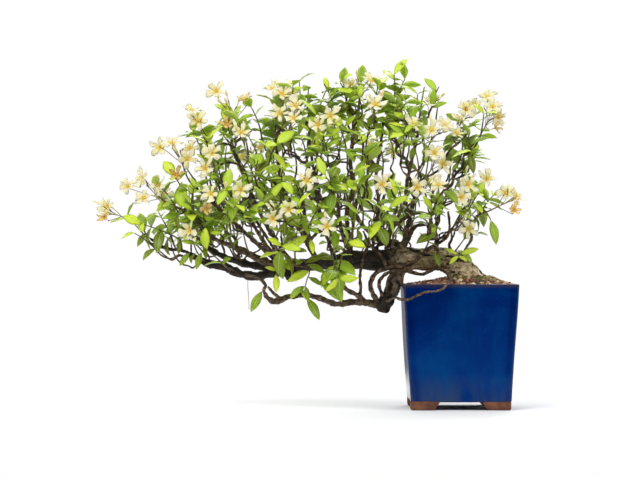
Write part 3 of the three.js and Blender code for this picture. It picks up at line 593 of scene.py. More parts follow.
moss_finish, tree, shader = finish("moss", 0.75)
green = ramp(tree, stored(tree, "tone"), (0.0, (0.05, 0.12, 0.012)), (0.5, (0.13, 0.26, 0.025)),
             (1.0, (0.27, 0.38, 0.05)))
straw = blend(tree, stored(tree, "tone"), (0.3, 0.26, 0.07), (0.5, 0.45, 0.2))
dry = level(tree, xyz(tree, spot_on(tree))[0], 0.19, 0.2)
paint(tree, shader, blend(tree, dry, green, straw))
distances = [(np.hypot(top_points[:, 0] - x, top_points[:, 1] - y) / reach, amount)
             for x, y, reach, amount in MOSS_SPOTS]
moss_cover = np.max([amount * np.exp(-away ** 2) for away, amount in distances], axis=0)
grown("moss", soil_top(moss_cover), scatter, Density=2100000.0, Piece=sprig(),
      Least=0.0016, Greatest=0.0032, Raise=0.0012, Tilt=0.08, Seed=8, Finish=moss_finish)

# Wood: the trunk bows up out of the mound and over the rim, then runs level to the left, one piece with
# its roots, stub, limbs and stems. Limbs are placed each from the wood nearest to its first
# point: x, y, z and, where it is thicker than its load of stems asks for, the radius.
LIMBS = {
    "trunk": [[196, 0, 116, 13], [190, 0, 130, 15.5], [181, 0, 144, 15.5], [170, 1, 157, 14],
      [158, 2, 166, 12], [144, 2, 170, 10.5], [120, 0, 170, 10], [100, -2, 170, 11.5],
      [80, -2, 169, 9.5], [60, 0, 169, 9], [42, 2, 169, 8.5], [26, 4, 165, 7.8], [8, 4, 166, 6.4],
      [-14, 2, 162, 6], [-32, 0, 159, 6]],
    "rootRight": [[184, 0, 140, 11], [201, -4, 144, 7.5], [212, -6, 139, 5], [218, -7, 131, 3]],
    "rootFront": [[181, 0, 144, 11], [176, -20, 144, 7.5], [170, -32, 137, 4.5], [167, -38, 128, 3]],
    "rootBack": [[181, 0, 144, 11], [170, 20, 144, 7], [160, 31, 137, 4.5], [154, 37, 128, 3]],
    "stub": [[102, -2, 166, 9.5], [96, -4, 150, 8.2], [90, -5, 133, 7.6], [83, -6, 119, 9],
      [80, -6, 108, 6.5]],
    "stubKnob": [[84, -6, 121, 7], [76, -8, 118, 6.5], [70, -9, 118, 4.5]],
    "cutLump": [[-28, -1, 159, 6], [-27, -4, 152, 6], [-28, -6, 146, 4]],
    "bottom": [[76, -8, 118, 5], [60, -12, 121, 3.8], [44, -16, 121, 3.3], [27, -22, 119, 3.2],
      [14, -28, 124, 3.2], [1, -32, 128, 3], [-14, -36, 129, 2.8], [-28, -40, 127, 3],
      [-41, -42, 122, 3.6], [-50, -44, 126, 2.6], [-55, -44, 134, 1.8], [-53, -40, 141, 1.7],
      [-63, -34, 149, 1.6], [-76, -24, 152, 1.5]],
    "bottomFork": [[-38, -42, 124, 2], [-43, -48, 131, 1.8], [-50, -54, 139, 1.4]],
    "sideLimb": [[60, -12, 123, 3], [48, -20, 131, 2.6], [38, -28, 136, 2.2], [30, -40, 148, 1.6]],
    "frontLoop": [[76, -10, 122, 3], [68, -16, 132, 2.6], [66, -18, 142, 2.6], [71, -18, 153, 2.6],
      [82, -17, 159, 2.8], [98, -15, 162, 2.8], [114, -14, 166, 2.4], [134, -15, 183, 1.9],
      [146, -16, 190, 1.8], [154, -18, 197, 1.6], [156, -22, 207, 1.4], [154, -28, 224, 1.3]],
    "soilVine": [[84, -12, 124, 2.4], [76, -18, 138, 2.2], [79, -20, 149, 2.2], [90, -19, 156, 2.3],
      [108, -18, 156, 2.2], [125, -19, 153, 2], [137, -21, 158, 2], [146, -25, 159, 2.2],
      [153, -32, 154, 2.4], [157, -38, 145, 2], [159, -41, 134, 1.6]],
    "innerLoop": [[86, -12, 126, 2], [85, -17, 140, 1.7], [88, -19, 150, 1.7], [97, -15, 158, 1.7]],
    "thinRise": [[56, -13, 122, 2], [55, -18, 136, 1.6], [54, -18, 150, 1.5], [56, -14, 163, 1.5],
      [59, -13, 176, 1.4], [63, -14, 188, 1.2], [58, -18, 202, 1.1]],
    "crossing": [[86, -16, 158, 1.8], [82, -17, 168, 1.6], [77, -15, 176, 1.5], [70, -14, 182, 1.3],
      [64, -16, 190, 1.2]],
    "runner": [[84, -13, 120, 2], [88, -30, 124, 1.7], [93, -52, 127, 1.6], [99, -66, 125, 1.6],
      [108, -69.5, 125, 1.6], [118, -69.5, 130, 1.5], [128, -69.5, 133.5, 1.5],
      [140, -69.5, 134.5, 1.5], [148, -69.5, 139, 1.5], [153, -67.5, 145.5, 1.5],
      [157, -61.5, 147, 1.5], [160, -55, 144, 1.5], [162, -52, 134, 1.4]],
    "arch": [[101, 0, 178, 5], [98, -2, 186, 4.2], [88, -3, 189.5, 3.4], [79, -4, 189, 3.2],
      [73, -4, 182, 3], [70, -3, 174, 3]],
    "archLeft": [[79, -4, 189, 2.6], [74, -6, 196, 2.4], [68, -9, 200, 2.2], [56, -14, 210, 1.8],
      [46, -22, 228, 1.4]],
    "archRight": [[80, -4, 190, 2.8], [87, -6, 199, 2.5], [95, -8, 210, 2.3], [108, -10, 218, 2],
      [120, -13, 223, 1.8], [136, -18, 222, 1.5], [148, -26, 231, 1.2]],
    "shoulder": [[100, 0, 185, 3.2], [108, 0, 192, 2.8], [113, 1, 201, 2.4], [119, 4, 208, 2],
      [138, 12, 212, 1.6]],
    "upright": [[108, -1, 190], [107, -3, 202], [112, -4, 218], [117, -5, 238], [122, -5, 258],
      [135, -6, 266], [148, -8, 275], [151, -8, 284], [158, -8, 296], [168, -6, 304],
      [178, -4, 315]],
    "uprightTop": [[112, -4, 218], [107, 2, 242], [111, 6, 270], [118, 6, 300], [124, 0, 326]],
    "rightTwig": [[170, 0, 172], [176, -4, 183], [182, -8, 193], [181, -10, 205], [188, -9, 220]],
    "riseA": [[66, 2, 176], [70, 10, 202], [77, 16, 230], [73, 18, 262], [78, 14, 296],
      [81, 8, 328]],
    "riseB": [[46, 0, 174], [42, -8, 196], [39, -16, 222], [46, -24, 250], [43, -28, 280],
      [46, -22, 310], [46, -12, 334]],
    "riseC": [[26, 4, 170], [18, 12, 192], [10, 22, 218], [4, 28, 250], [0, 28, 282], [-4, 22, 312],
      [-2, 18, 330]],
    "riseD": [[4, 4, 168], [-8, 4, 192], [-22, 0, 218], [-32, -8, 248], [-40, -12, 282],
      [-42, -10, 310]],
    "riseE": [[-18, 2, 165], [-40, 4, 188], [-57, 2, 216], [-72, -4, 250], [-84, -6, 280],
      [-94, -4, 300]],
    "riseF": [[-32, 0, 162], [-66, -4, 190], [-98, -8, 220], [-124, -10, 244], [-141, -8, 260],
      [-149, -6, 280]],
    "lowLeft": [[-30, 0, 158, 5.5], [-50, -4, 153, 4.6], [-66, -6, 151, 4.2], [-82, -8, 153, 4],
      [-100, -8, 162, 4], [-113, -8, 163, 3.6], [-124, -8, 167, 3.2], [-136, -6, 173, 2.6],
      [-147, -4, 179, 2.2], [-160, -2, 181, 2], [-172, 0, 184, 1.8], [-184, 0, 192, 1.6],
      [-192, 0, 200, 1.4]],
    "backLeft": [[-32, 0, 159, 4.5], [-58, 10, 161, 4], [-82, 18, 166, 3.4], [-104, 24, 174, 2.8],
      [-126, 32, 186, 2]],
    "foreLeft": [[-34, -2, 160, 4], [-60, -10, 170, 3.6], [-84, -20, 182, 2.8], [-104, -30, 190, 2.2],
      [-122, -38, 198, 1.6]],
    "foreA": [[-30, -4, 161], [-48, -24, 180], [-64, -42, 204], [-76, -56, 226]],
    "foreB": [[8, 0, 168], [-4, -24, 190], [-16, -46, 214], [-26, -64, 238]],
    "foreC": [[40, -4, 171], [36, -26, 192], [30, -50, 218], [28, -70, 244]],
    "foreD": [[58, -4, 171], [66, -26, 198], [74, -48, 222], [80, -64, 242]],
    "foreLow": [[8, -2, 163], [-8, -26, 162], [-22, -46, 164]],
    "backA": [[-30, 4, 161], [-46, 28, 184], [-64, 48, 212], [-76, 60, 234]],
    "backB": [[4, 8, 168], [-4, 30, 196], [-10, 54, 226], [-13, 72, 252]],
    "backC": [[42, 8, 172], [46, 32, 200], [51, 54, 230], [56, 70, 256]],
    "backD": [[80, 6, 174], [92, 26, 204], [105, 42, 232], [116, 54, 254]],
}
BARE_LIMBS = ["rootRight", "rootFront", "rootBack", "stubKnob", "cutLump", "runner",
              "soilVine", "arch"]
HEART = np.array([0, 0, 195.0])
UP = np.array([0, 0, 1.0])
STEP = 7
TWIG_RADIUS = 0.95
PIPE_POWER = 2.3
REACH_COST = 0.35
CLIMB_COST = 1.2
TURN_COST = 0.5
NEAREST_SEAT = 4
CLOSED_TIPS = 3
STEM_LIFT = 0.35
STEM_HANDLE = 0.36
SWAY = 0.8
SWAY_BY_LENGTH = 0.045
SHOOT = 50
STALK = 14
PEDICEL = 18
CLEAR_OF_POT = 20
CROWN_SHARE = 0.4
SPRAY_LIFT = 0.25
STEM_SEED = 100
FINE_STEM_SEED = 700
TWIN_SEED = 40


def chance(seed):
    """Seeded draws between 0 and 1, the same as in the model's own source."""
    state = seed

    def draw():
        nonlocal state
        state = (state + 0x6D2B79F5) & 0xFFFFFFFF
        mixed = ((state ^ (state >> 15)) * (state | 1)) & 0xFFFFFFFF
        mixed ^= (mixed + ((mixed ^ (mixed >> 7)) * (mixed | 61))) & 0xFFFFFFFF
        return (mixed ^ (mixed >> 14)) / 4294967296

    return draw


def unit(way):
    return way / np.linalg.norm(way)


def outward(place):
    """The way out of the crown, from a heart that follows the place half way along it."""
    return unit(np.array([place[0] * CROWN_SHARE, place[1], place[2] - HEART[2]]))


def catmull(points, share):
    """A place on the smooth line through these points."""
    at = min(share * (len(points) - 1), len(points) - 1)
    start = min(int(at), len(points) - 2)
    rest = at - start
    ahead, behind = points[start + 1], points[start]
    before = points[start - 1] if start else 2 * points[0] - points[1]
    after = points[start + 2] if start + 2 < len(points) else 2 * points[-1] - points[-2]
    leave, arrive = (ahead - before) / 2, (after - behind) / 2
    return (behind + leave * rest + (3 * (ahead - behind) - 2 * leave - arrive) * rest ** 2
            + (2 * (behind - ahead) + leave + arrive) * rest ** 3)


def bezier(points, share):
    """A place on the curve of a start, its handles and an end."""
    while len(points) > 1:
        points = [low + (high - low) * share for low, high in zip(points, points[1:])]
    return points[0]


knots = []
chains = []


def is_over_pot(at):
    return max(abs(at[0] - POT_X), abs(at[1])) < POT_RIM / 2


def add_chain(name, path, radii, parent, end_direction=None):
    """A run of wood: its places, each with the one before it and its way from the ground."""
    members = [] if parent is None else [parent]
    for index, at in enumerate(path):
        if parent is not None and index == 0:
            continue
        before = members[-1] if members else None
        reach = 0 if before is None else knots[before]["reach"] + np.linalg.norm(at - knots[before]["at"])
        is_bare = name in BARE_LIMBS or is_over_pot(at) and at[2] < POT_TOP + CLEAR_OF_POT
        is_open = not is_bare and not (end_direction is not None and index >= len(path) - CLOSED_TIPS)
        knots.append({"at": at, "before": before, "reach": reach, "radius": radii[index], "is_open": is_open})
        members.append(len(knots) - 1)
    chains.append({"name": name, "members": members, "first": radii[0]})


def steps_along(length):
    return max(2, math.floor(length / STEP + 0.5))


def add_limb(name, rows):
    points = [np.array(row[:3], float) for row in rows]
    parent = None
    if knots:
        parent = min(range(len(knots)), key=lambda one: np.linalg.norm(knots[one]["at"] - points[0]))
        points[0] = knots[parent]["at"]
    count = steps_along(sum(np.linalg.norm(b - a) for a, b in zip(points, points[1:])))
    rows_at = [step / count * (len(rows) - 1) for step in range(count + 1)]
    given = [row[3] if len(row) > 3 else 0 for row in rows]
    radii = np.interp(rows_at, range(len(rows)), given)
    add_chain(name, [catmull(points, step / count) for step in range(count + 1)], radii, parent)


def seat_for(base, direction):
    """The place on the wood that a stem to this base leaves from."""
    best, least = None, math.inf
    for index, knot in enumerate(knots):
        way = base - knot["at"]
        length = math.sqrt(way @ way)
        if not knot["is_open"] or length < NEAREST_SEAT:
            continue
        cost = (length * (1 + TURN_COST * (1 - way @ direction / length)) + REACH_COST * knot["reach"]
                + CLIMB_COST * max(0, knot["at"][2] - base[2]))
        if cost < least:
            best, least = index, cost
    return best


def stem_path(start, base, direction, draw):
    """A bow that leaves its seat upwards and ends along the direction, with a slight winding."""
    way = base - start
    length = np.linalg.norm(way)
    leave = unit(unit(way) + UP * STEM_LIFT)
    handle = length * STEM_HANDLE
    aside = unit(np.cross(leave, direction) + [0.1, 0.2, 0.05])
    lift = unit(np.cross(aside, way))
    waves, phase = 1.2 + draw() * 1.2, draw() * math.tau
    count = steps_along(length)
    path = []
    for step in range(count + 1):
        share = step / count
        swing = (SWAY + length * SWAY_BY_LENGTH) * math.sin(math.pi * share)
        turn = math.tau * waves * share + phase
        place = bezier([start, start + leave * handle, base - direction * handle, base], share)
        path.append(place + aside * swing * math.cos(turn) + lift * swing * math.sin(turn))
    return path


for name, rows in LIMBS.items():
    add_limb(name, rows)

# Flowers and leafy shoots, listed: the middle of each flower in each cluster, with a 1 where it is
# old and shrunk, and the end of each shoot. The stem to each follows the same rule.
BLOOMS = [
    [[-110, -8, 363], [-77, -12, 352, 1], [-97, -20, 324, 1]],
    [[-138, -10, 341], [-130, -20, 328]],
    [[-175, -10, 298], [-159, -22, 303], [-139, -22, 297], [-142, -34, 284], [-154, -26, 266, 1]],
    [[-120, -78, 272], [-113, -70, 290]],
    [[-80, -64, 313]],
    [[-196, -6, 263], [-212, -2, 254], [-192, -26, 240], [-175, -24, 255], [-170, 4, 244]],
    [[-236, 0, 231], [-237, -14, 218, 1]],
    [[-113, -98, 243], [-118, -84, 226, 1], [-80, -98, 247]],
    [[-138, -74, 202]],
    [[-46, -12, 366], [-34, -28, 358], [-24, -4, 360]],
    [[-19, -48, 344], [-37, -50, 335], [-21, -64, 329]],
    [[20, -66, 331], [6, -74, 321]],
    [[-26, -120, 225], [-44, -112, 215]],
    [[16, -118, 206]],
    [[44, -14, 370], [68, -8, 375]],
    [[71, -54, 345]],
    [[138, -16, 353]],
    [[114, -66, 322], [134, -56, 316], [150, -44, 323], [164, -36, 313]],
    [[168, -14, 331], [176, -8, 342], [187, 8, 347]],
    [[201, 0, 357], [206, -12, 345], [213, -4, 333], [211, 8, 321, 1]],
    [[137, -64, 290], [147, -54, 278]],
    [[141, -70, 254], [117, -88, 250]],
    [[77, -104, 253]],
    [[-6, -118, 257]],
    [[176, -40, 255], [168, -50, 240], [199, -14, 262]],
    [[222, -6, 246], [235, 4, 242], [231, -8, 226, 1]],
    [[177, -36, 204]],
    [[-62, 84, 302], [-84, 84, 290]],
    [[70, 92, 306], [96, 84, 298]],
]
SPRAYS = [
    [45, -4, 372], [4, 18, 366], [88, 6, 366], [125, -6, 358], [-46, 12, 346], [-98, 2, 328],
    [188, 0, 326], [-56, -58, 306], [-50, 76, 318], [44, -72, 318], [20, 82, 330],
    [-122, -30, 304], [172, 6, 288], [-94, -90, 250], [-40, -104, 258], [30, -108, 262],
    [84, -92, 226], [90, 94, 232], [-150, -44, 240], [-196, 0, 216], [-136, 52, 226],
    [-42, -92, 164], [28, -82, 152], [204, -4, 236], [-92, 82, 258], [-20, 98, 270],
    [60, 97, 270], [124, 76, 280],
]
MORE_SPRAYS = [
    [-203, -14, 206], [-186, 10, 184], [-214, 0, 224], [-156, -22, 186], [-136, -30, 222], [-122, -60, 180],
    [-164, 6, 224], [-148, -40, 252], [-131, -24, 303], [-122, 6, 330], [-96, 14, 336], [-78, -26, 332],
    [-64, -34, 316], [-62, 10, 352], [-30, 20, 352], [-14, -4, 380], [-6, -40, 340], [26, -10, 378],
    [56, 10, 380], [74, -14, 374], [100, 2, 386], [96, -34, 356], [128, -20, 372], [134, 8, 348],
    [116, -44, 334], [190, -10, 334], [192, 6, 312], [166, -34, 288], [186, 10, 284], [128, -60, 300],
    [66, -74, 290], [50, -84, 272], [22, -78, 300], [-12, -84, 274], [16, -98, 252], [62, -98, 250],
    [90, -76, 246], [128, -40, 244], [152, -34, 214], [182, -24, 246],
    [208, 8, 250], [202, -16, 214], [-56, -88, 264], [-76, -64, 284], [-98, -56, 268], [-110, -36, 284],
    [-84, -84, 246], [-64, -104, 226], [-22, -108, 200], [-6, -112, 230], [36, -104, 196], [48, -96, 218],
    [-86, -70, 214], [-104, -62, 204],
    [-34, -60, 268], [6, -60, 310], [-170, -30, 262], [150, -52, 262],
]
BACK_SPRAYS = [
    [-120, 40, 286], [-70, 66, 292], [-20, 62, 320], [34, 60, 326], [88, 56, 316], [140, 44, 296],
    [-160, 34, 244], [-120, 70, 246], [-60, 96, 256], [10, 104, 248], [44, 102, 262], [106, 84, 256],
    [160, 44, 262], [-150, 30, 206], [-100, 62, 210], [-40, 88, 218], [20, 92, 214], [72, 86, 218],
    [120, 62, 222], [186, 22, 240], [-30, 50, 340], [66, 40, 344], [112, 30, 336], [-90, 44, 316],
]
SHORT_SHOOT = 38
TWIN_SHOOT = 26
TWIN_STRAY = 34
LOWEST_TWIN = 205
TWIN_INSET = 12
TIP_INSET = 6
THICKET = 84
THICKET_MIDDLE = np.array([0, 0, 242.5])
THICKET_SPAN = np.array([250, 120, 75])
MOST_SWELLING = 1.25
FINE_TWIG_RADIUS = TWIG_RADIUS * 0.85


def end_of(kind, index, place, shoot=SHOOT, rise=0):
    """Where a cluster or shoot starts, and its direction."""
    place = np.array(place, float)
    direction = unit(outward(place) + UP * rise)
    if kind == "bloom":
        fork = place - direction * PEDICEL
        return {"kind": kind, "index": index, "direction": direction, "fork": fork,
                "base": fork - direction * STALK, "name": f"bloom_{index + 1:02d}"}
    if place[2] > HEART[2]:
        direction = unit(direction + UP * SPRAY_LIFT)
    return {"kind": kind, "index": index, "direction": direction, "base": place - direction * shoot,
            "name": f"spray_{index + 1:02d}", "shoot": shoot}


def add_stems(ends, first_seed):
    nearest_first = sorted(ends, key=lambda end: np.linalg.norm(end["base"] - HEART))
    for order, end in enumerate(nearest_first):
        seat = seat_for(end["base"], end["direction"])
        path = stem_path(knots[seat]["at"], end["base"], end["direction"], chance(first_seed + order))
        add_chain(end["name"], path, [0] * len(path), seat, end["direction"])


def thicken(first, least):
    """Makes each knot from the first on as thick as what it carries, and older wood swell with it."""
    loads = [0.0] * len(knots)
    for index in range(len(knots) - 1, -1, -1):
        knot = knots[index]
        if index >= first:
            loads[index] = max(loads[index], least ** PIPE_POWER)
            knot["radius"] = max(knot["radius"], loads[index] ** (1 / PIPE_POWER))
        else:
            swollen = (knot["radius"] ** PIPE_POWER + loads[index]) ** (1 / PIPE_POWER)
            knot["radius"] = min(swollen, knot["radius"] * MOST_SWELLING)
        if knot["before"] is not None:
            loads[knot["before"]] += loads[index]


ends = [end_of("bloom", index, np.mean([row[:3] for row in rows], axis=0))
        for index, rows in enumerate(BLOOMS)]
ends += [end_of("spray", index, tip) for index, tip in enumerate(SPRAYS)]
add_stems(ends, STEM_SEED)
thicken(0, TWIG_RADIUS)

# Finer growth than the model's own: the shoots listed above, a small one beside each shoot, and bare
# stems that fill the inside of the crown
modelled = len(knots)
draw = chance(TWIN_SEED)
tips = [np.array(tip, float) for tip in MORE_SPRAYS + BACK_SPRAYS]
twins = []
for tip in tips + [np.array(tip, float) for tip in SPRAYS]:
    stray = np.array([draw() - 0.5, draw() - 0.5, draw() - 0.5]) * TWIN_STRAY
    if tip[2] > LOWEST_TWIN:
        twins.append(tip + stray - outward(tip) * TWIN_INSET)
tips = [tip - outward(tip) * TIP_INSET for tip in tips]
inner = [THICKET_MIDDLE + THICKET_SPAN * np.array([draw() - 0.5 for _ in range(3)])
         for _ in range(THICKET)]
more_ends = [end_of(kind, first + index, tip, shoot, rise) for kind, first, places, shoot, rise in (
    ("spray", 100, tips, SHORT_SHOOT, 0.8), ("spray", 300, twins, TWIN_SHOOT, 0.9),
    ("twig", 600, inner, TWIN_SHOOT, 0.6)) for index, tip in enumerate(places)]
add_stems(more_ends, FINE_STEM_SEED)
thicken(modelled, FINE_TWIG_RADIUS)

# A hair-thin aerial root hangs from the lowest left limb
AERIAL_ROOT = [[-73, -26, 153], [-73.5, -26.5, 140], [-72.5, -27, 126], [-72, -27, 113]]
AERIAL_RADIUS = 0.28

THICK_WOOD = 5.4
SLENDER_WOOD = 1.7
KNUCKLE = 0.14
BARE_GIRTH = 0.85
STEM_GIRTH = 1.2
FIRST_GIRTH = 0.6
LAST_BARE_GIRTH = 0.6
STUB_ROUND = 0.5
VOXEL = 0.0009
BLUR = 7


def out_by(tree, amount):
    return vector(tree, "SCALE", node(tree, "GeometryNodeInputNormal").outputs[0], scale=amount)


tubes, given = new_tree("winding_tubes", Sides="Int", Steps="Int", Relief="Float", Grain="Float",
                        Finish="Material")
lines = node(tubes, "GeometryNodeMeshToCurve", {"Mesh": given["Geometry"]})
bent = node(tubes, "GeometryNodeCurveSplineType", {"Curve": lines.outputs[0]}, spline_type="CATMULL_ROM")
fine = node(tubes, "GeometryNodeSetSplineResolution", {
    "Geometry": bent.outputs[0], "Resolution": given["Steps"]})
girth = named(tubes, "girth")
hoop = node(tubes, "GeometryNodeCurvePrimitiveCircle", {"Resolution": given["Sides"], "Radius": 1.0})
skin = node(tubes, "GeometryNodeCurveToMesh", {
    "Curve": fine.outputs[0], "Profile Curve": hoop.outputs[0], "Scale": girth, "Fill Caps": True})
swell = node(tubes, "ShaderNodeTexNoise", {"Scale": given["Grain"], "Detail": 2.0, "Roughness": 0.6})
amount = maths(tubes, "MULTIPLY", maths(tubes, "SUBTRACT", swell.outputs["Fac"], 0.5),
               maths(tubes, "MULTIPLY", given["Relief"], girth))
close_tree(tubes, skin.outputs[0], given["Finish"], Offset=out_by(tubes, amount))


def lines_of(runs):
    """An object of open lines from (places, radii) runs, with the radius stored at each place."""
    points, radii, edges = [], [], []
    for path, girths in runs:
        edges += [(len(points) + step, len(points) + step + 1) for step in range(len(path) - 1)]
        points += list(path)
        radii += list(girths)
    made = new_piece("lines", world(points), [], edges=edges)
    attach(made, "girth", np.array(radii) * MM)
    return made


def run_of(chain):
    """Places and radii of a chain, which starts slim inside what carries it."""
    places = [knots[member]["at"] for member in chain["members"]]
    radii = [knots[member]["radius"] for member in chain["members"]]
    if chain["name"] != "trunk":
        radii[0] = max(FIRST_GIRTH * radii[1], chain["first"])
        radii = [radius * (1 + KNUCKLE * (row % 2)) for row, radius in enumerate(radii)]
    if chain["name"] in BARE_LIMBS:
        radii = [radius * BARE_GIRTH for radius in radii[:-1]] + [radii[-1] * LAST_BARE_GIRTH]
    if chain["name"] == "stub":
        places.insert(-1, places[-2] * 0.3 + places[-1] * 0.7)
        radii[-1:] = [radii[-1], radii[-1] * STUB_ROUND]
    return places, radii


runs = [run_of(chain) for chain in chains]
thick = [run for run in runs if max(run[1]) > THICK_WOOD]
middling = [run for run in runs if SLENDER_WOOD < max(run[1]) <= THICK_WOOD]
slender = [(path, [radius * STEM_GIRTH for radius in radii]) for path, radii in runs
           if max(radii) <= SLENDER_WOOD]
slender.append((AERIAL_ROOT, [AERIAL_RADIUS] * len(AERIAL_ROOT)))

bark, tree, shader = finish("bark", 0.85)
plates = noise(tree, 210, 5, 0.65, distortion=0.5)
fissure = noise(tree, 120, 4, 0.6, stretch=(0.45, 1, 1), distortion=1.2)
wood_colour = ramp(tree, plates, (0.34, (0.07, 0.035, 0.017)), (0.43, (0.4, 0.25, 0.12)),
                   (0.51, (0.68, 0.5, 0.28)), (0.6, (0.9, 0.8, 0.62)))
mossy = level(tree, noise(tree, 48, 3), 0.5, 0.66, 0, 0.55)
wood_colour = blend(tree, mossy, wood_colour, (0.19, 0.16, 0.035))
cracked = level(tree, fissure, 0.47, 0.4)
# Painted shade: the wood on the left, which lies in the crown's shadow, is darkened almost to black.
painted_shade_left = level(tree, xyz(tree, spot_on(tree))[0], 0.125, 0.085, 0, 0.975)
wood_colour = blend(tree, painted_shade_left, wood_colour, (0.022, 0.014, 0.009))
paint(tree, shader, blend(tree, cracked, wood_colour, (0.012, 0.008, 0.006)))
relief = maths(tree, "SUBTRACT", plates, maths(tree, "MULTIPLY", cracked, 0.5))
bump(tree, shader, relief, 0.0016, 0.9)

twig_bark, tree, shader = finish("stem_bark", 0.62)
strand = noise(tree, 210, 4, 0.65, distortion=0.4)
stem_colour = ramp(tree, strand, (0.36, (0.01, 0.005, 0.003)), (0.48, (0.048, 0.022, 0.011)),
                   (0.58, (0.17, 0.1, 0.05)), (0.7, (0.36, 0.26, 0.15)))
olive = level(tree, noise(tree, 22, 2), 0.48, 0.62, 0, 0.6)
paint(tree, shader, blend(tree, olive, stem_colour, (0.085, 0.062, 0.018)))
bump(tree, shader, noise(tree, 1100, 3, 0.7, stretch=(1, 1, 0.4)), 0.0004, 0.7)

trunk = grown("trunk_tubes", lines_of(thick), tubes, Sides=28, Steps=8, Relief=0.0, Grain=95.0, Finish=bark)
trunk.modifiers.new("weld", "REMESH").voxel_size = VOXEL
trunk.modifiers.new("blur", "SMOOTH").iterations = BLUR

furrows, given = new_tree("bark_furrows", Lump="Float", Furrow="Float", Finish="Material")
here = node(furrows, "GeometryNodeInputPosition").outputs[0]
lumps = node(furrows, "ShaderNodeTexNoise", {"Vector": here, "Scale": 60.0, "Detail": 2.0}).outputs["Fac"]
drawn = vector(furrows, "MULTIPLY", here, (0.5, 1.0, 1.0))
rows = node(furrows, "ShaderNodeTexNoise", {
    "Vector": drawn, "Scale": 230.0, "Detail": 3.0, "Roughness": 0.7, "Distortion": 0.8}).outputs["Fac"]
depth = maths(furrows, "ADD",
              maths(furrows, "MULTIPLY", maths(furrows, "SUBTRACT", lumps, 0.5), given["Lump"]),
              maths(furrows, "MULTIPLY", maths(furrows, "SUBTRACT", rows, 0.55), given["Furrow"]))
close_tree(furrows, given["Geometry"], given["Finish"], Offset=out_by(furrows, depth))
trunk = grown("trunk_bark", trunk, furrows, Lump=0.0065, Furrow=0.004, Finish=bark)
limbs = grown("limbs", lines_of(middling), tubes, Sides=10, Steps=4, Relief=1.7, Grain=190.0,
              Finish=twig_bark)
stems = grown("stems", lines_of(slender), tubes, Sides=6, Steps=3, Relief=1.2, Grain=260.0,
              Finish=twig_bark)
for piece in (trunk, limbs, stems):
    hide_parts("trunk")

# Leafy shoots: this year's wood, green turning brown, with leathery leaves in opposite pairs, each
# pair a quarter turn from the last. A leaf is a pointed ellipse on a short stalk, folded a little along
# its midrib and arching down. The youngest, at the ends, are lime green, the oldest dark and olive.
LEAF_WIDTH = 0.46
LEAF_STATIONS = 8
LEAF_ROUND = [(-0.5, 1), (0, 1), (0.5, 1), (1, 0.5), (0.5, 0), (0, 0), (-0.5, 0), (-1, 0.5)]
GROWN = {"spread": (0.95, 0.35), "length": (25, 9), "droop": (0.5, 0.8), "sag": 0.3,
         "face_ahead": 0.5, "face_up": 0.8, "roll": 0.9}
YOUNG = {"spread": (0.75, 0.3), "length": (19, 8), "droop": (0.2, 0.5), "sag": 0.05,
         "face_ahead": 1, "face_up": 0.2, "roll": 0.3}
SMALL = {"spread": (0.7, 0.5), "length": (14, 13), "droop": (0.25, 0.9), "sag": 0.05,
         "face_ahead": 0.7, "face_up": 0.7, "roll": 1.6}
PAIRS = [0.24, 0.5, 0.76]
TURNS = [0, 0.45, -0.45, 0.9, -0.9, 1.35, -1.35]
LEANS = 8
LEAN_SPREAD = 0.9
ELBOW = 0.45
YOUNG_AGE = (0.05, 0.25)
GROWN_AGE = (0.15, 0.8)
WIDTHS = (0.78, 0.3)
SAME = 0.06
SPRAY_SEED = 500
GAP_SEED = 4000
FULL_SEED = 4900


def turned(way, axis, angle):
    return (way * math.cos(angle) + np.cross(axis, way) * math.sin(angle)
            + axis * (axis @ way) * (1 - math.cos(angle)))


def leaf_on(root, ahead, aside, habit, turn, draws):
    """One leaf, spread from its shoot towards the side given and sagging under its own weight."""
    spread, length, droop = (habit[label][0] + habit[label][1] * draw
                             for label, draw in zip(("spread", "length", "droop"), draws))
    axis = ahead * math.cos(spread) + turned(aside, ahead, turn) * math.sin(spread)
    axis = unit(axis - UP * habit["sag"])
    face = ahead * habit["face_ahead"] + UP * habit["face_up"]
    face = turned(unit(face - axis * (face @ axis)), axis, (draws[3] - 0.5) * habit["roll"])
    return {"root": root, "axis": axis, "face": face, "length": length, "droop": droop}


def leaf_tip(leaf):
    angle, length = leaf["droop"], leaf["length"]
    return (leaf["root"] + leaf["axis"] * length * math.sin(angle) / angle
            - leaf["face"] * length * (1 - math.cos(angle)) / angle)


def corners_of(name):
    """The corners of a solid of the frame, in millimetres."""
    mesh = frame["nodes"][name].data
    corners = np.empty(len(mesh.vertices) * 3, np.float32)
    mesh.vertices.foreach_get("co", corners)
    return (corners.reshape(-1, 3).astype(float) - ORIGIN) / MM


def how_far(place, corners):
    return np.linalg.norm(corners - place, axis=1).min()


def tangent(points, share):
    low, high = max(share - 1e-4, 0), min(share + 1e-4, 1)
    return unit(bezier(points, high) - bezier(points, low))


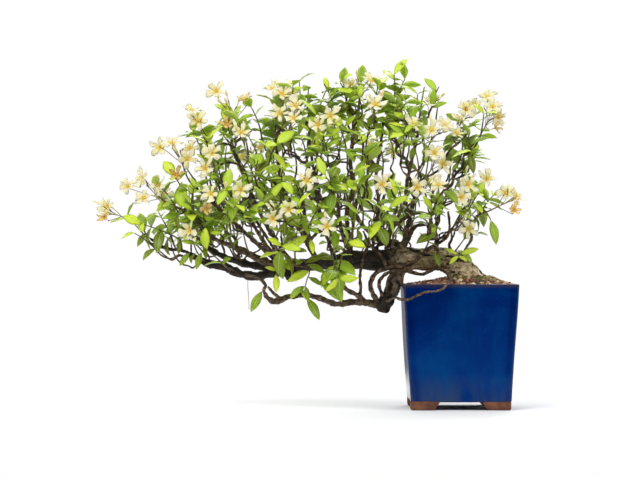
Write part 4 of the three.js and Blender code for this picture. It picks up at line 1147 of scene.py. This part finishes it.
def chosen_leaves(curve, out, habit, shares, draws, corners):
    """The leaves of a shoot. Where its corners are given, they are turned as they are there."""
    leaves = []
    rows = [(share, (1, -1), habit) for share in shares] + [(1, (-1, 1), YOUNG)]
    for row, (share, hands, own_habit) in enumerate(rows):
        ahead = tangent(curve, share)
        out = unit(np.cross(ahead, out))
        for order, hand in enumerate(hands):
            own = draws[row * 2 + order]
            root = bezier(curve, share)
            options = [leaf_on(root, ahead, out * hand, own_habit, turn, own) for turn in TURNS]
            leaf = options[0]
            if corners is not None:
                leaf = min(options, key=lambda one: how_far(leaf_tip(one), corners))
                if how_far(leaf_tip(leaf), corners) > SAME:
                    continue
            if share == 1:
                age = YOUNG_AGE[0] + YOUNG_AGE[1] * own[0]
            else:
                age = GROWN_AGE[0] * (1 - share) + GROWN_AGE[1] * own[2]
            leaves.append({**leaf, "tone": age, "width": LEAF_WIDTH * (WIDTHS[0] + WIDTHS[1] * own[3])})
    return leaves


def leafy_spray(end, corners=None):
    """The shoot's curve and its leaves. Where the frame has the spray, they stand as they do there."""
    draw = chance(SPRAY_SEED + end["index"])
    length, direction = end["shoot"], end["direction"]
    start = end["base"] + direction * SEAT_GAP
    curves = []
    for _ in range(LEANS):
        lean = np.array([draw() - 0.5, draw() - 0.5, draw() * 0.6 - 0.1]) * LEAN_SPREAD
        curves.append([start, start + direction * length * ELBOW, start + unit(direction + lean) * length])
    out = unit(np.cross([draw() - 0.5, draw() - 0.5, draw() - 0.5], direction))
    shares = PAIRS if end["shoot"] > TWIN_SHOOT else PAIRS[::2]
    draws = [[draw() for _ in range(4)] for _ in range(2 * len(shares) + 2)]
    if corners is None:
        return curves[0], chosen_leaves(curves[0], out, SMALL, shares, draws, None)
    ways = [(curve, chosen_leaves(curve, out, GROWN, shares, draws, corners)) for curve in curves]
    return max(ways, key=lambda way: len(way[1]))


# Leaves that hang singly from the wood in the photo: where each starts and ends, and its age
LONE_LEAVES = [
    ([-57, -40, 134], [-70, -44, 110], 0.6), ([138, -14, 179], [145, -20, 160], 0.75),
    ([141, -26, 200], [124, -32, 190], 0.55), ([166, -20, 174], [155, -26, 164], 0.02),
    ([166, -20, 174], [176, -26, 167], 0.05), ([165, -20, 175], [150, -22, 182], 0.1),
    ([168, -18, 175], [190, -20, 182], 0.15), ([-7, -50, 127], [8, -54, 101], 0.7),
    ([8, -60, 146], [31, -64, 123], 0.62), ([-14, -50, 137], [-3, -54, 121], 0.35),
    ([-12, -54, 140], [-25, -58, 125], 0.4), ([-126, -30, 178], [-132, -34, 158], 0.6),
    ([-140, -8, 178], [-152, -12, 162], 0.65),
]
# Leaves given one by one in the crown: x and z of the start, x and z of the tip, and the age
CROWN_LEAVES = [
    ((-4, 341), (-6, 319), 0.85), ((94, 333), (90, 310), 0.9), ((105, 326), (109, 309), 0.85),
    ((81, 340), (77, 320), 0.8), ((61, 292), (74, 269), 0.85), ((-47, 306), (-56, 286), 0.75),
    ((50, 279), (50, 256), 0.45), ((62, 255), (63, 233), 0.25), ((22, 316), (25, 297), 0.3),
    ((42, 224), (47, 207), 0.6), ((-32, 208), (-32, 191), 0.8), ((-151, 190), (-153, 174), 0.8),
    ((-121, 187), (-119, 171), 0.75), ((-197, 194), (-203, 181), 0.75), ((183, 282), (186, 262), 0.85),
    ((193, 332), (212, 319), 0.6), ((163, 285), (157, 273), 0.6), ((130, 361), (135, 374), 0.5),
    ((128, 358), (149, 356), 0.55), ((-6, 197), (-28, 180), 0.1), ((0, 192), (2, 175), 0.1),
    ((37, 190), (62, 183), 0.05), ((48, 204), (53, 188), 0.6), ((61, 194), (59, 182), 0.7),
    ((-64, 292), (-60, 275), 0.55), ((119, 300), (112, 284), 0.6), ((30, 350), (38, 336), 0.6),
    ((-90, 262), (-98, 246), 0.7), ((-100, 300), (-106, 284), 0.6), ((15, 262), (8, 244), 0.55),
]
# Where few loose leaves grow, so that the stems show: x, z, half width, half height, share missing
THIN_SPOTS = [
    (135, 270, 38, 27, 0.95), (140, 350, 38, 38, 0.85), (-74, 290, 36, 24, 0.85), (64, 222, 38, 32, 0.75),
    (-70, 190, 42, 22, 0.75), (-207, 190, 38, 22, 0.85), (-140, 170, 40, 16, 0.8), (-3, 378, 38, 14, 0.6),
    (15, 285, 60, 26, 0.35), (178, 215, 30, 30, 0.5),
]
# Where more of them grow: x, z, half width, half height and their number
FULL_SPOTS = [(66, 342, 32, 24, 30), (-3, 338, 30, 14, 20), (-135, 214, 34, 18, 22), (-3, 216, 32, 18, 10)]
FULL_LENGTH = (14, 10)
FULL_FAN = 4.4
FULL_AGE = (0.25, 0.6)
# Short shoots that hang before the trunk, and the big leaves on them: start, tip and age
HANGING = [
    ([[22, -4, 173], [24, -30, 179], [27, -48, 170], [24, -56, 159], [19, -59, 152]],
     [([25, -49, 169], [49, -57, 156], 0.42), ([27, -48, 168], [36, -55, 142], 0.5),
      ([22, -57, 156], [37, -63, 146], 0.05), ([19, -59, 152], [10, -63, 138], 0.2),
      ([20, -58, 154], [33, -62, 121], 0.55)]),
    ([[-14, -2, 163], [-14, -26, 170], [-8, -44, 167], [-3, -54, 157], [-6, -55, 148], [-8, -52, 140]],
     [([-8, -52, 140], [-26, -55, 127], 0.5), ([-8, -52, 140], [-5, -57, 123], 0.6),
      ([-5, -55, 150], [11, -59, 140], 0.7),
      ([-3, -54, 157], [-29, -58, 144], 0.12), ([-6, -48, 164], [15, -56, 154], 0.65),
      ([-10, -42, 167], [-35, -46, 165], 0.6), ([-8, -45, 166], [14, -50, 174], 0.8)]),
    ([[-34, -3, 162], [-36, -28, 173], [-38, -46, 168], [-41, -55, 154]],
     [([-41, -55, 154], [-41, -58, 132], 0.02), ([-40, -53, 157], [-54, -57, 161], 0.05),
      ([-40, -54, 156], [-27, -58, 171], 0.1), ([-38, -48, 166], [-22, -54, 157], 0.35)]),
    ([[191, -9, 228], [198, -14, 224], [203, -18, 215]],
     [([203, -18, 215], [209, -24, 186], 0.6)]),
]
FRONT_FIRST = 0.08
HUNG_FORWARD = -7
LONE_BOW = 1.06
LONE_DROOP = 0.5
LONE_WIDTH = 0.72
TO_THE_FRONT = np.array([0.2, -1, 0.6])


def lone_leaf(start, end, age):
    way = np.array(end, float) - start
    face = unit(np.cross(np.cross(way, TO_THE_FRONT), way))
    return {"root": np.array(start, float), "axis": unit(unit(way) + face * 0.25), "face": face,
            "length": np.linalg.norm(way) * LONE_BOW, "droop": LONE_DROOP, "tone": age,
            "width": LEAF_WIDTH * LONE_WIDTH}


def hung_leaf(start, tip, age):
    """A leaf of the crown on the twig nearest to its start as the front shows it."""
    aside, below = TWIGS[:, 0] - start[0], TWIGS[:, 2] - start[1]
    twig = TWIGS[np.argmin(np.hypot(aside, below) + FRONT_FIRST * TWIGS[:, 1])]
    reach = np.array([tip[0] - (start[0] + twig[0]) / 2, HUNG_FORWARD, tip[1] - (start[1] + twig[2]) / 2])
    return lone_leaf(twig, twig + reach, age)


def is_missing(leaf, draw):
    middle = (leaf["root"] + leaf_tip(leaf)) / 2
    shares = [share for x, z, wide, high, share in THIN_SPOTS
              if math.hypot((middle[0] - x) / wide, (middle[2] - z) / high) < 1]
    return draw() < max(shares, default=0)


def blade():
    """A leaf of unit length along X, from -1 to 1 across Y, with its margins raised along Z."""
    rings, marks = [np.array([[0, 0, 0.0]])], [(0, 0, 0.5)]
    for station in range(1, LEAF_STATIONS - 1):
        along = (station / (LEAF_STATIONS - 1)) ** 0.92
        grow = max(0, (along - 0.07) / 0.93)
        wide = 0.06 + 1.0 * (math.sin(math.pi * grow ** 0.86) ** 0.82) * (1 - 0.32 * grow ** 5)
        ring = []
        for across, under in LEAF_ROUND:
            fold = 0.2 * abs(across) ** 1.4 * wide
            ripple = 0.07 * abs(across) ** 2 * math.sin(along * 16 + across)
            thick = 0.045 * (1 - across ** 2) + 0.05 * (across == 0) * (1 - along)
            ring.append((along, across * wide, fold + ripple + thick * (1 - 2 * under)))
            marks.append((along, across, under))
        rings.append(np.array(ring))
    made = new_piece("blade", *loft([*rings, np.array([[1.0, 0, 0]])]))
    attach(made, "blade", [*marks, (1, 0, 0.5)], "FLOAT_VECTOR")
    return made


def set_on_points(name, numbers, **inputs):
    """A tree that sets a copy of a template on each point, and what shapes and places each copy."""
    tree, given = new_tree(name, Template="Object", Finish="Material", **inputs)
    held = copies_on(tree, given["Geometry"], given["Template"])
    flat = node(tree, "GeometryNodeRealizeInstances", {"Geometry": held}).outputs[0]
    told = {label: named(tree, label, "FLOAT_VECTOR") for label in ("root", "axis", "face")}
    told.update({label: named(tree, label) for label in numbers})
    told["side"] = vector(tree, "CROSS_PRODUCT", told["face"], told["axis"])
    return tree, given, flat, told, xyz(tree, node(tree, "GeometryNodeInputPosition").outputs[0])


def steps_from(tree, place, *steps):
    """The place that is reached from another by steps of (way, length)."""
    for way, length in steps:
        place = vector(tree, "ADD", place, vector(tree, "SCALE", way, scale=length))
    return place


foliage, given, flat, told, own = set_on_points("leaf_blades", ("size", "droop", "width"))
angle = maths(foliage, "MULTIPLY", told["droop"], own[0])
sine, cosine = maths(foliage, "SINE", angle), maths(foliage, "COSINE", angle)
bow = maths(foliage, "DIVIDE", told["size"], told["droop"])
half = maths(foliage, "MULTIPLY", maths(foliage, "MULTIPLY", told["size"], told["width"]), 0.5)
tipped = steps_from(foliage, vector(foliage, "SCALE", told["face"], scale=cosine), (told["axis"], sine))
close_tree(foliage, flat, given["Finish"], Position=steps_from(
    foliage, told["root"], (told["axis"], maths(foliage, "MULTIPLY", bow, sine)),
    (told["face"], maths(foliage, "MULTIPLY", bow, maths(foliage, "SUBTRACT", cosine, 1.0))),
    (told["side"], maths(foliage, "MULTIPLY", half, own[1])),
    (tipped, maths(foliage, "MULTIPLY", half, own[2]))))

leaf_finish, tree, shader = finish("leaf", 0.4, Specular_IOR_Level=0.35, Subsurface_Weight=0.35,
                                   Subsurface_Radius=(0.8, 1.0, 0.15), Subsurface_Scale=0.002)
run, across, under = xyz(tree, stored(tree, "blade", "Vector"))
across = maths(tree, "ABSOLUTE", across)
blotch = maths(tree, "MULTIPLY", maths(tree, "SUBTRACT", noise(tree, 60, 3), 0.5), 0.3)
tone = maths(tree, "ADD", stored(tree, "tone"), blotch)
green = ramp(tree, tone, (0.0, (0.74, 0.92, 0.05)), (0.2, (0.6, 0.82, 0.04)), (0.42, (0.36, 0.57, 0.025)),
             (0.66, (0.21, 0.32, 0.014)), (0.88, (0.14, 0.14, 0.006)))
rib = level(tree, across, 0.1, 0.03)
slant = maths(tree, "SUBTRACT", run, maths(tree, "MULTIPLY", across, 0.16))
vein = level(tree, maths(tree, "SINE", maths(tree, "MULTIPLY", slant, 62.0)), 0.75, 1.0)
pale = maths(tree, "ADD", maths(tree, "MULTIPLY", rib, 0.55), maths(tree, "MULTIPLY", vein, 0.14))
top = blend(tree, pale, green, (0.7, 0.8, 0.2))
below = blend(tree, 0.6, green, (0.42, 0.55, 0.22))
paint(tree, shader, blend(tree, level(tree, under, 0.5, 0.9), top, below))
tree.links.new(level(tree, under, 0.4, 0.9, 0.36, 0.62), shader.inputs["Roughness"])
quilt = maths(tree, "ADD", maths(tree, "MULTIPLY", rib, -0.6), maths(tree, "MULTIPLY", vein, -0.5))
bump(tree, shader, quilt, 0.0003, 0.6)


def leaf_points(leaves):
    """A point at the middle for each leaf, with what its blade is shaped by stored on it."""
    made = new_piece("leaf_points", np.zeros((len(leaves), 3)), [])
    attach(made, "root", world([leaf["root"] for leaf in leaves]), "FLOAT_VECTOR")
    attach(made, "size", [leaf["length"] * MM for leaf in leaves])
    for name in ("axis", "face", "droop", "tone", "width"):
        kind = "FLOAT_VECTOR" if name in ("axis", "face") else "FLOAT"
        attach(made, name, [leaf.get(name, 1) for leaf in leaves], kind)
    return made


SHOOT_STEPS = 7
SHOOT_START = 1.05
SHOOT_END = 0.6
shoot_runs, leaves = [], []
for end in [one for one in ends + more_ends if one["kind"] == "spray"]:
    corners = corners_of(end["name"]) if end["name"] in frame["nodes"] else None
    curve, own_leaves = leafy_spray(end, corners)
    draw = chance(GAP_SEED + end["index"])
    leaves += [leaf for leaf in own_leaves if corners is not None or not is_missing(leaf, draw)]
    shoot_runs.append(([bezier(curve, share) for share in np.linspace(0, 1, SHOOT_STEPS)],
                       np.linspace(SHOOT_START, SHOOT_END, SHOOT_STEPS)))
TWIGS = np.array([place for path, _ in slender + middling for place in path])
leaves += [lone_leaf(*row) for row in LONE_LEAVES] + [hung_leaf(*row) for row in CROWN_LEAVES]
draw = chance(FULL_SEED)
for x, z, wide, high, number in FULL_SPOTS:
    for _ in range(number):
        start = (x + (2 * draw() - 1) * wide, z + (2 * draw() - 1) * high)
        length = FULL_LENGTH[0] + FULL_LENGTH[1] * draw()
        angle = (draw() - 0.5) * FULL_FAN - math.pi / 2
        tip = (start[0] + length * math.cos(angle), start[1] + length * math.sin(angle))
        leaves.append(hung_leaf(start, tip, FULL_AGE[0] + FULL_AGE[1] * draw()))
for path, rows in HANGING:
    shoot_runs.append((path, np.linspace(1.0, SHOOT_END, len(path))))
    leaves += [lone_leaf(*row) for row in rows]
foliage_piece = grown("leaves", leaf_points(leaves), foliage, Template=blade(), Finish=leaf_finish)
green_bark, tree, shader = finish("shoot_skin", 0.5)
paint(tree, shader, ramp(tree, noise(tree, 40, 3), (0.35, (0.09, 0.045, 0.02)), (0.6, (0.13, 0.14, 0.03))))
shoots = grown("shoots", lines_of(shoot_runs), tubes, Sides=6, Steps=2, Relief=0.2, Grain=400.0,
               Finish=green_bark)
for piece in (foliage_piece, shoots):
    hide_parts(*[name for name in frame["nodes"] if name.startswith("spray")])

# Blooms: clusters of five-petalled pinwheels, each petal's outer end cut askew and set like a vane, on
# a slender tube with a tiny calyx. They open cream with an orange throat and turn deep yellow to
# orange-brown as they age. Twisted buds and spent calyces stand among them.
BLOOM_RADIUS = 12
BLOOM_TUBE = 8
OLD_SHARE = 0.72
SHIFTS = [0, 4, 8, -4, 12, -8, 16]
PETAL_ROWS = 8
PETAL_OUTLINE = [[0, 0.27, -0.4], [15, 0.72, 1.0], [33, 1.0, 1.3], [57, 0.9, -0.9]]
THROAT = 0.13
PETAL_HABITS = [(1, 0.02), (0.93, 0.2), (1.04, -0.12), (0.96, 0.1), (0.9, -0.2)]
PETAL_LAPS = [-1, -0.6, -0.2, 0.2, 0.6, 1]
PETAL_THICKNESS = 0.022
FLOWER_TUBE = [(0.05, -0.69), (0.058, -0.55), (0.06, -0.4), (0.1, -0.3), (0.115, -0.2), (0.15, -0.12),
               (0.17, -0.09), (0.12, -0.12), (0.09, -0.2)]
ANTHERS = [(0.05, -0.2), (0.04, -0.06), (0.015, 0.02)]
TUBE_SIDES = 10
BUD_ROWS = 12
BUD_TWIST = 2.4


def petal_place(along, across, stretch, nod):
    """A place on a petal: 0 to 1 from the throat out, and -1 to 1 from its rising to its falling edge."""
    tip = (0.955 - 0.07 * across) * (1 - 0.05 * across ** 4) * stretch
    reach = THROAT + (tip - THROAT) * along
    half = min(0.09 + 0.33 * reach, 0.62 * reach) * (1 - 0.1 * along ** 6)
    angle = math.radians(36 + 12 * max(0, reach - 0.27)) + across * half / reach
    flare = -0.13 + 0.17 * min(1, along * 1.6) ** 0.7 + (nod - 0.05) * max(0, along - 0.3) ** 1.5
    vane = -0.1 * across * along ** 0.8
    ripple = 0.03 * math.sin(across * 4 + along * 7 + nod * 40) * along + 0.04 * along * (1 - across ** 2)
    return np.array([reach * math.cos(angle), reach * math.sin(angle), flare + vane + ripple])


def flower():
    """A flower of unit radius that faces along Z: petals, the tube behind them and the anthers."""
    parts, marks = [], []
    ring_across = PETAL_LAPS + PETAL_LAPS[-2:0:-1]
    for petal, (stretch, nod) in enumerate(PETAL_HABITS):
        spin = math.radians(72 * petal)
        sine, cosine = math.sin(spin), math.cos(spin)
        turn = np.array([[cosine, -sine, 0], [sine, cosine, 0], [0, 0, 1]])
        rings = []
        for row in range(PETAL_ROWS):
            along = row / (PETAL_ROWS - 1)
            ring = []
            for order, across in enumerate(ring_across):
                depth = PETAL_THICKNESS * (order >= len(PETAL_LAPS))
                wide = across * (1 - 0.15 * (row == PETAL_ROWS - 1))
                ring.append(turn @ (petal_place(along, wide, stretch, nod) - [0, 0, depth]))
                marks.append((along, across, 1.0))
            rings.append(np.array(ring))
        points, faces = loft(rings)
        around = range(len(ring_across))
        faces += [list(around)[::-1], [len(points) - len(around) + order for order in around]]
        parts.append((points, faces))
    for outline, kind in ((FLOWER_TUBE, 0.0), (ANTHERS, 2.0)):
        turns = np.linspace(0, math.tau, TUBE_SIDES, endpoint=False)
        points, faces = capped([np.array([[r * math.cos(a), r * math.sin(a), z] for a in turns])
                                for r, z in outline])
        parts.append((points, faces))
        marks += [((z + 0.69) / 0.6, 0, kind) for z in points[:, 2]]
    made = new_piece("flower", *joined(parts))
    attach(made, "petal", marks, "FLOAT_VECTOR")
    return made


def bud():
    """A closed bud of unit size along Z: a slim spindle of five petals wound round each other."""
    rings = [np.array([[0, 0, -0.7]])]
    for row in range(1, BUD_ROWS):
        rise = row / BUD_ROWS
        girth = 0.055 + 0.075 * math.sin(math.pi * max(0, rise - 0.35) / 0.65)
        ring = []
        for side in range(TUBE_SIDES):
            angle = side * math.tau / TUBE_SIDES + rise * BUD_TWIST
            radius = girth * (1 + 0.22 * (side % 2) * (rise > 0.4))
            ring.append((radius * math.cos(angle), radius * math.sin(angle), -0.7 + 1.15 * rise))
        rings.append(np.array(ring))
    points, faces = loft([*rings, np.array([[0, 0, 0.48]])])
    made = new_piece("bud", points, faces)
    attach(made, "petal", [(0.2 + (z + 0.7) * 0.6, 0.5, 1.0) for z in points[:, 2]], "FLOAT_VECTOR")
    return made


bloomery, given, flat, told, own = set_on_points("set_flowers", ("size", "droop"), Unlike="Float")
squares = [maths(bloomery, "POWER", part, 2.0) for part in own[:2]]
spread = maths(bloomery, "ADD", *squares)
cupped = maths(bloomery, "ADD", own[2], maths(bloomery, "MULTIPLY", spread, told["droop"]))
place = steps_from(bloomery, told["root"], *[
    (told[way], maths(bloomery, "MULTIPLY", told["size"], reach))
    for way, reach in (("axis", own[0]), ("side", own[1]), ("face", cupped))])
curl = node(bloomery, "ShaderNodeTexNoise", {"Vector": place, "Scale": 140.0, "Detail": 0.0})
unlike = maths(bloomery, "MULTIPLY", maths(bloomery, "MULTIPLY", told["size"], spread), given["Unlike"])
aside = vector(bloomery, "SUBTRACT", curl.outputs["Color"], (0.5, 0.5, 0.5))
close_tree(bloomery, flat, given["Finish"], Position=steps_from(bloomery, place, (aside, unlike)))

petal_finish, tree, shader = finish(
    "petal", 0.55, Subsurface_Weight=0.3, Subsurface_Radius=(1.0, 0.85, 0.5), Subsurface_Scale=0.0015)
run, across, kind = xyz(tree, stored(tree, "petal", "Vector"))
age = stored(tree, "tone")
fresh = ramp(tree, run, (0.0, (0.97, 0.58, 0.04)), (0.12, (0.97, 0.74, 0.16)), (0.3, (0.97, 0.85, 0.36)),
             (0.6, (0.98, 0.9, 0.54)), (1.0, (0.99, 0.95, 0.7)))
faded = ramp(tree, run, (0.0, (0.6, 0.2, 0.02)), (0.3, (0.92, 0.52, 0.09)), (0.7, (0.93, 0.62, 0.2)),
             (1.0, (0.6, 0.28, 0.09)))
crease = level(tree, maths(tree, "ABSOLUTE", across), 0.12, 0.0, 0, 0.25)
limb = blend(tree, age, blend(tree, crease, fresh, (0.93, 0.82, 0.42)), faded)
limb = blend(tree, level(tree, noise(tree, 300, 3), 0.6, 0.78, 0, 0.2), limb, (0.75, 0.6, 0.3))
stem_end = ramp(tree, run, (0.0, (0.16, 0.2, 0.05)), (0.5, (0.5, 0.5, 0.2)), (0.9, (0.98, 0.66, 0.1)))
heart = blend(tree, level(tree, kind, 0.4, 0.6), stem_end, limb)
anther = blend(tree, level(tree, kind, 1.4, 1.6), heart, (0.9, 0.6, 0.08))
paint(tree, shader, anther)
bump(tree, shader, maths(tree, "SINE", maths(tree, "MULTIPLY", across, 22.0)), 0.00012, 0.5)

CUP_FRESH = 0.06
CUP_OLD = 0.55
BUDS_A_CLUSTER = 5
FRESH_SHARE = (0.94, 0.1)
STALK_MARKS = [(0, 1.0), (0.5, 0.85), (1, 0.8)]
PEDICEL_MARKS = [(0, 0.5), (0.3, 0.42), (0.6, 0.42), (0.85, 0.5), (0.94, 1.05), (1, 0.7)]
BUD_MARKS = [(0, 0.45), (0.35, 0.36), (0.7, 0.36), (0.9, 0.8), (1, 0.5)]
BUD_SHARE = 0.4
FACE_OUT = 0.55
FACE_STRAY = 0.8
FACE_FRONT = 0.75
BACK_FROM = 40
THROAT_DEPTH = 2
FLOWER_SEED = 300


def petal_ways(centre, seat, facing, twist):
    """The ways to a flower's first petal and across it, carried along its bent tube from its seat."""
    first = unit(centre - facing * BLOOM_TUBE - seat)
    across = UP if abs(first[2]) < 0.9 else np.array([1.0, 0, 0])
    for ahead in (first, unit(centre - facing * THROAT_DEPTH - seat), facing):
        across = unit(across - ahead * (across @ ahead))
    over = np.cross(facing, across)
    return (across * math.cos(twist) + over * math.sin(twist),
            over * math.cos(twist) - across * math.sin(twist))


def misfit(centre, ways, facing, radius, corners):
    """How many corners of a flower's petals the frame's solid doesn't have."""
    missing = 0
    for petal in range(len(PETAL_HABITS)):
        for degrees, share, lift in PETAL_OUTLINE:
            angle = math.radians(petal * 72 + degrees)
            out = ways[0] * math.cos(angle) + ways[1] * math.sin(angle)
            missing += how_far(centre + out * radius * share + facing * lift, corners) > SAME
    return missing


def stalk_run(handles, marks):
    """Places and radii along a curve, from marks of (share of the curve, radius)."""
    return [bezier(handles, share) for share, _ in marks], [radius for _, radius in marks]


def set_flower(row, end, seat, corners, draw):
    """A flower of a cluster, shifted and turned as in the frame, and its stalk."""
    is_old = len(row) > 3
    radius = (OLD_SHARE if is_old else FRESH_SHARE[0] + FRESH_SHARE[1] * draw()) * BLOOM_RADIUS
    twist = draw() * math.tau
    stray = np.array([draw() - 0.5, draw() - 0.5, draw() - 0.5])
    wanted = np.array(row[:3], float)
    front = FACE_FRONT if wanted[1] > BACK_FROM else -FACE_FRONT
    facing = unit(outward(wanted) * FACE_OUT + stray * FACE_STRAY + [0, front, 0.1])
    options = []
    for shift in SHIFTS:
        centre = wanted + end["direction"] * shift
        ways = petal_ways(centre, seat, facing, twist)
        options.append((misfit(centre, ways, facing, radius, corners), centre, ways[0]))
    _, centre, across = min(options, key=lambda one: one[0])
    tone = 0.75 + 0.25 * draw() if is_old else 0.16 * stray[0] + 0.08
    calyx = centre - facing * BLOOM_TUBE
    bend = (seat + calyx) / 2 + UP * 0.8 - facing * 1.5
    told = {"root": centre, "axis": across, "face": facing, "length": radius,
            "droop": CUP_OLD if is_old else CUP_FRESH + 0.12 * stray[1], "tone": max(0, tone)}
    return told, stalk_run([seat, bend, calyx - facing * 1.2, calyx], PEDICEL_MARKS)


def set_bud(end, draw):
    """A short stalk out of a cluster's fork, and the bud on it, if it still has one."""
    stray = np.array([draw() - 0.5, draw() - 0.5, draw() - 0.3])
    way = unit(end["direction"] + stray * 1.5)
    reach = 12 + 14 * draw()
    tip = end["fork"] + way * reach
    stalk = stalk_run([end["fork"], end["fork"] + end["direction"] * reach * 0.5, tip], BUD_MARKS)
    if draw() >= BUD_SHARE:
        return [], stalk
    size = 9 + 4 * draw()
    return [{"root": tip + way * size * 0.66, "axis": unit(np.cross(way, [0.3, 0.2, 0.9])), "face": way,
             "length": size, "droop": 0.0, "tone": 0.5 * draw() ** 2}], stalk


flowers, buds, stalk_runs = [], [], []
for end in [one for one in ends if one["kind"] == "bloom"]:
    rows = BLOOMS[end["index"]]
    corners = corners_of(end["name"])
    draw = chance(FLOWER_SEED + end["index"])
    seat = start = end["base"] + end["direction"] * SEAT_GAP
    if len(rows) > 1:
        seat = end["fork"] - end["direction"] * 1.2
        stalk_runs.append(stalk_run([start, end["fork"]], STALK_MARKS))
    for row in rows:
        flower_set, stalk = set_flower(row, end, seat, corners, draw)
        flowers.append(flower_set)
        stalk_runs.append(stalk)
    for _ in range(BUDS_A_CLUSTER):
        bud_set, stalk = set_bud(end, draw)
        buds += bud_set
        stalk_runs.append(stalk)

blooms = grown("blooms", leaf_points(flowers), bloomery, Template=flower(), Unlike=1.0, Finish=petal_finish)
closed = grown("buds", leaf_points(buds), bloomery, Template=bud(), Unlike=0.3, Finish=petal_finish)
stalk_skin, tree, shader = finish("flower_stalk", 0.5)
paint(tree, shader, ramp(tree, noise(tree, 90, 3), (0.38, (0.18, 0.075, 0.035)),
                         (0.6, (0.24, 0.22, 0.08))))
stalks = grown("flower_stalks", lines_of(stalk_runs), tubes, Sides=6, Steps=3, Relief=0.1, Grain=500.0,
               Finish=stalk_skin)
for piece in (blooms, closed, stalks):
    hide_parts(*[name for name in frame["nodes"] if name.startswith("bloom")])
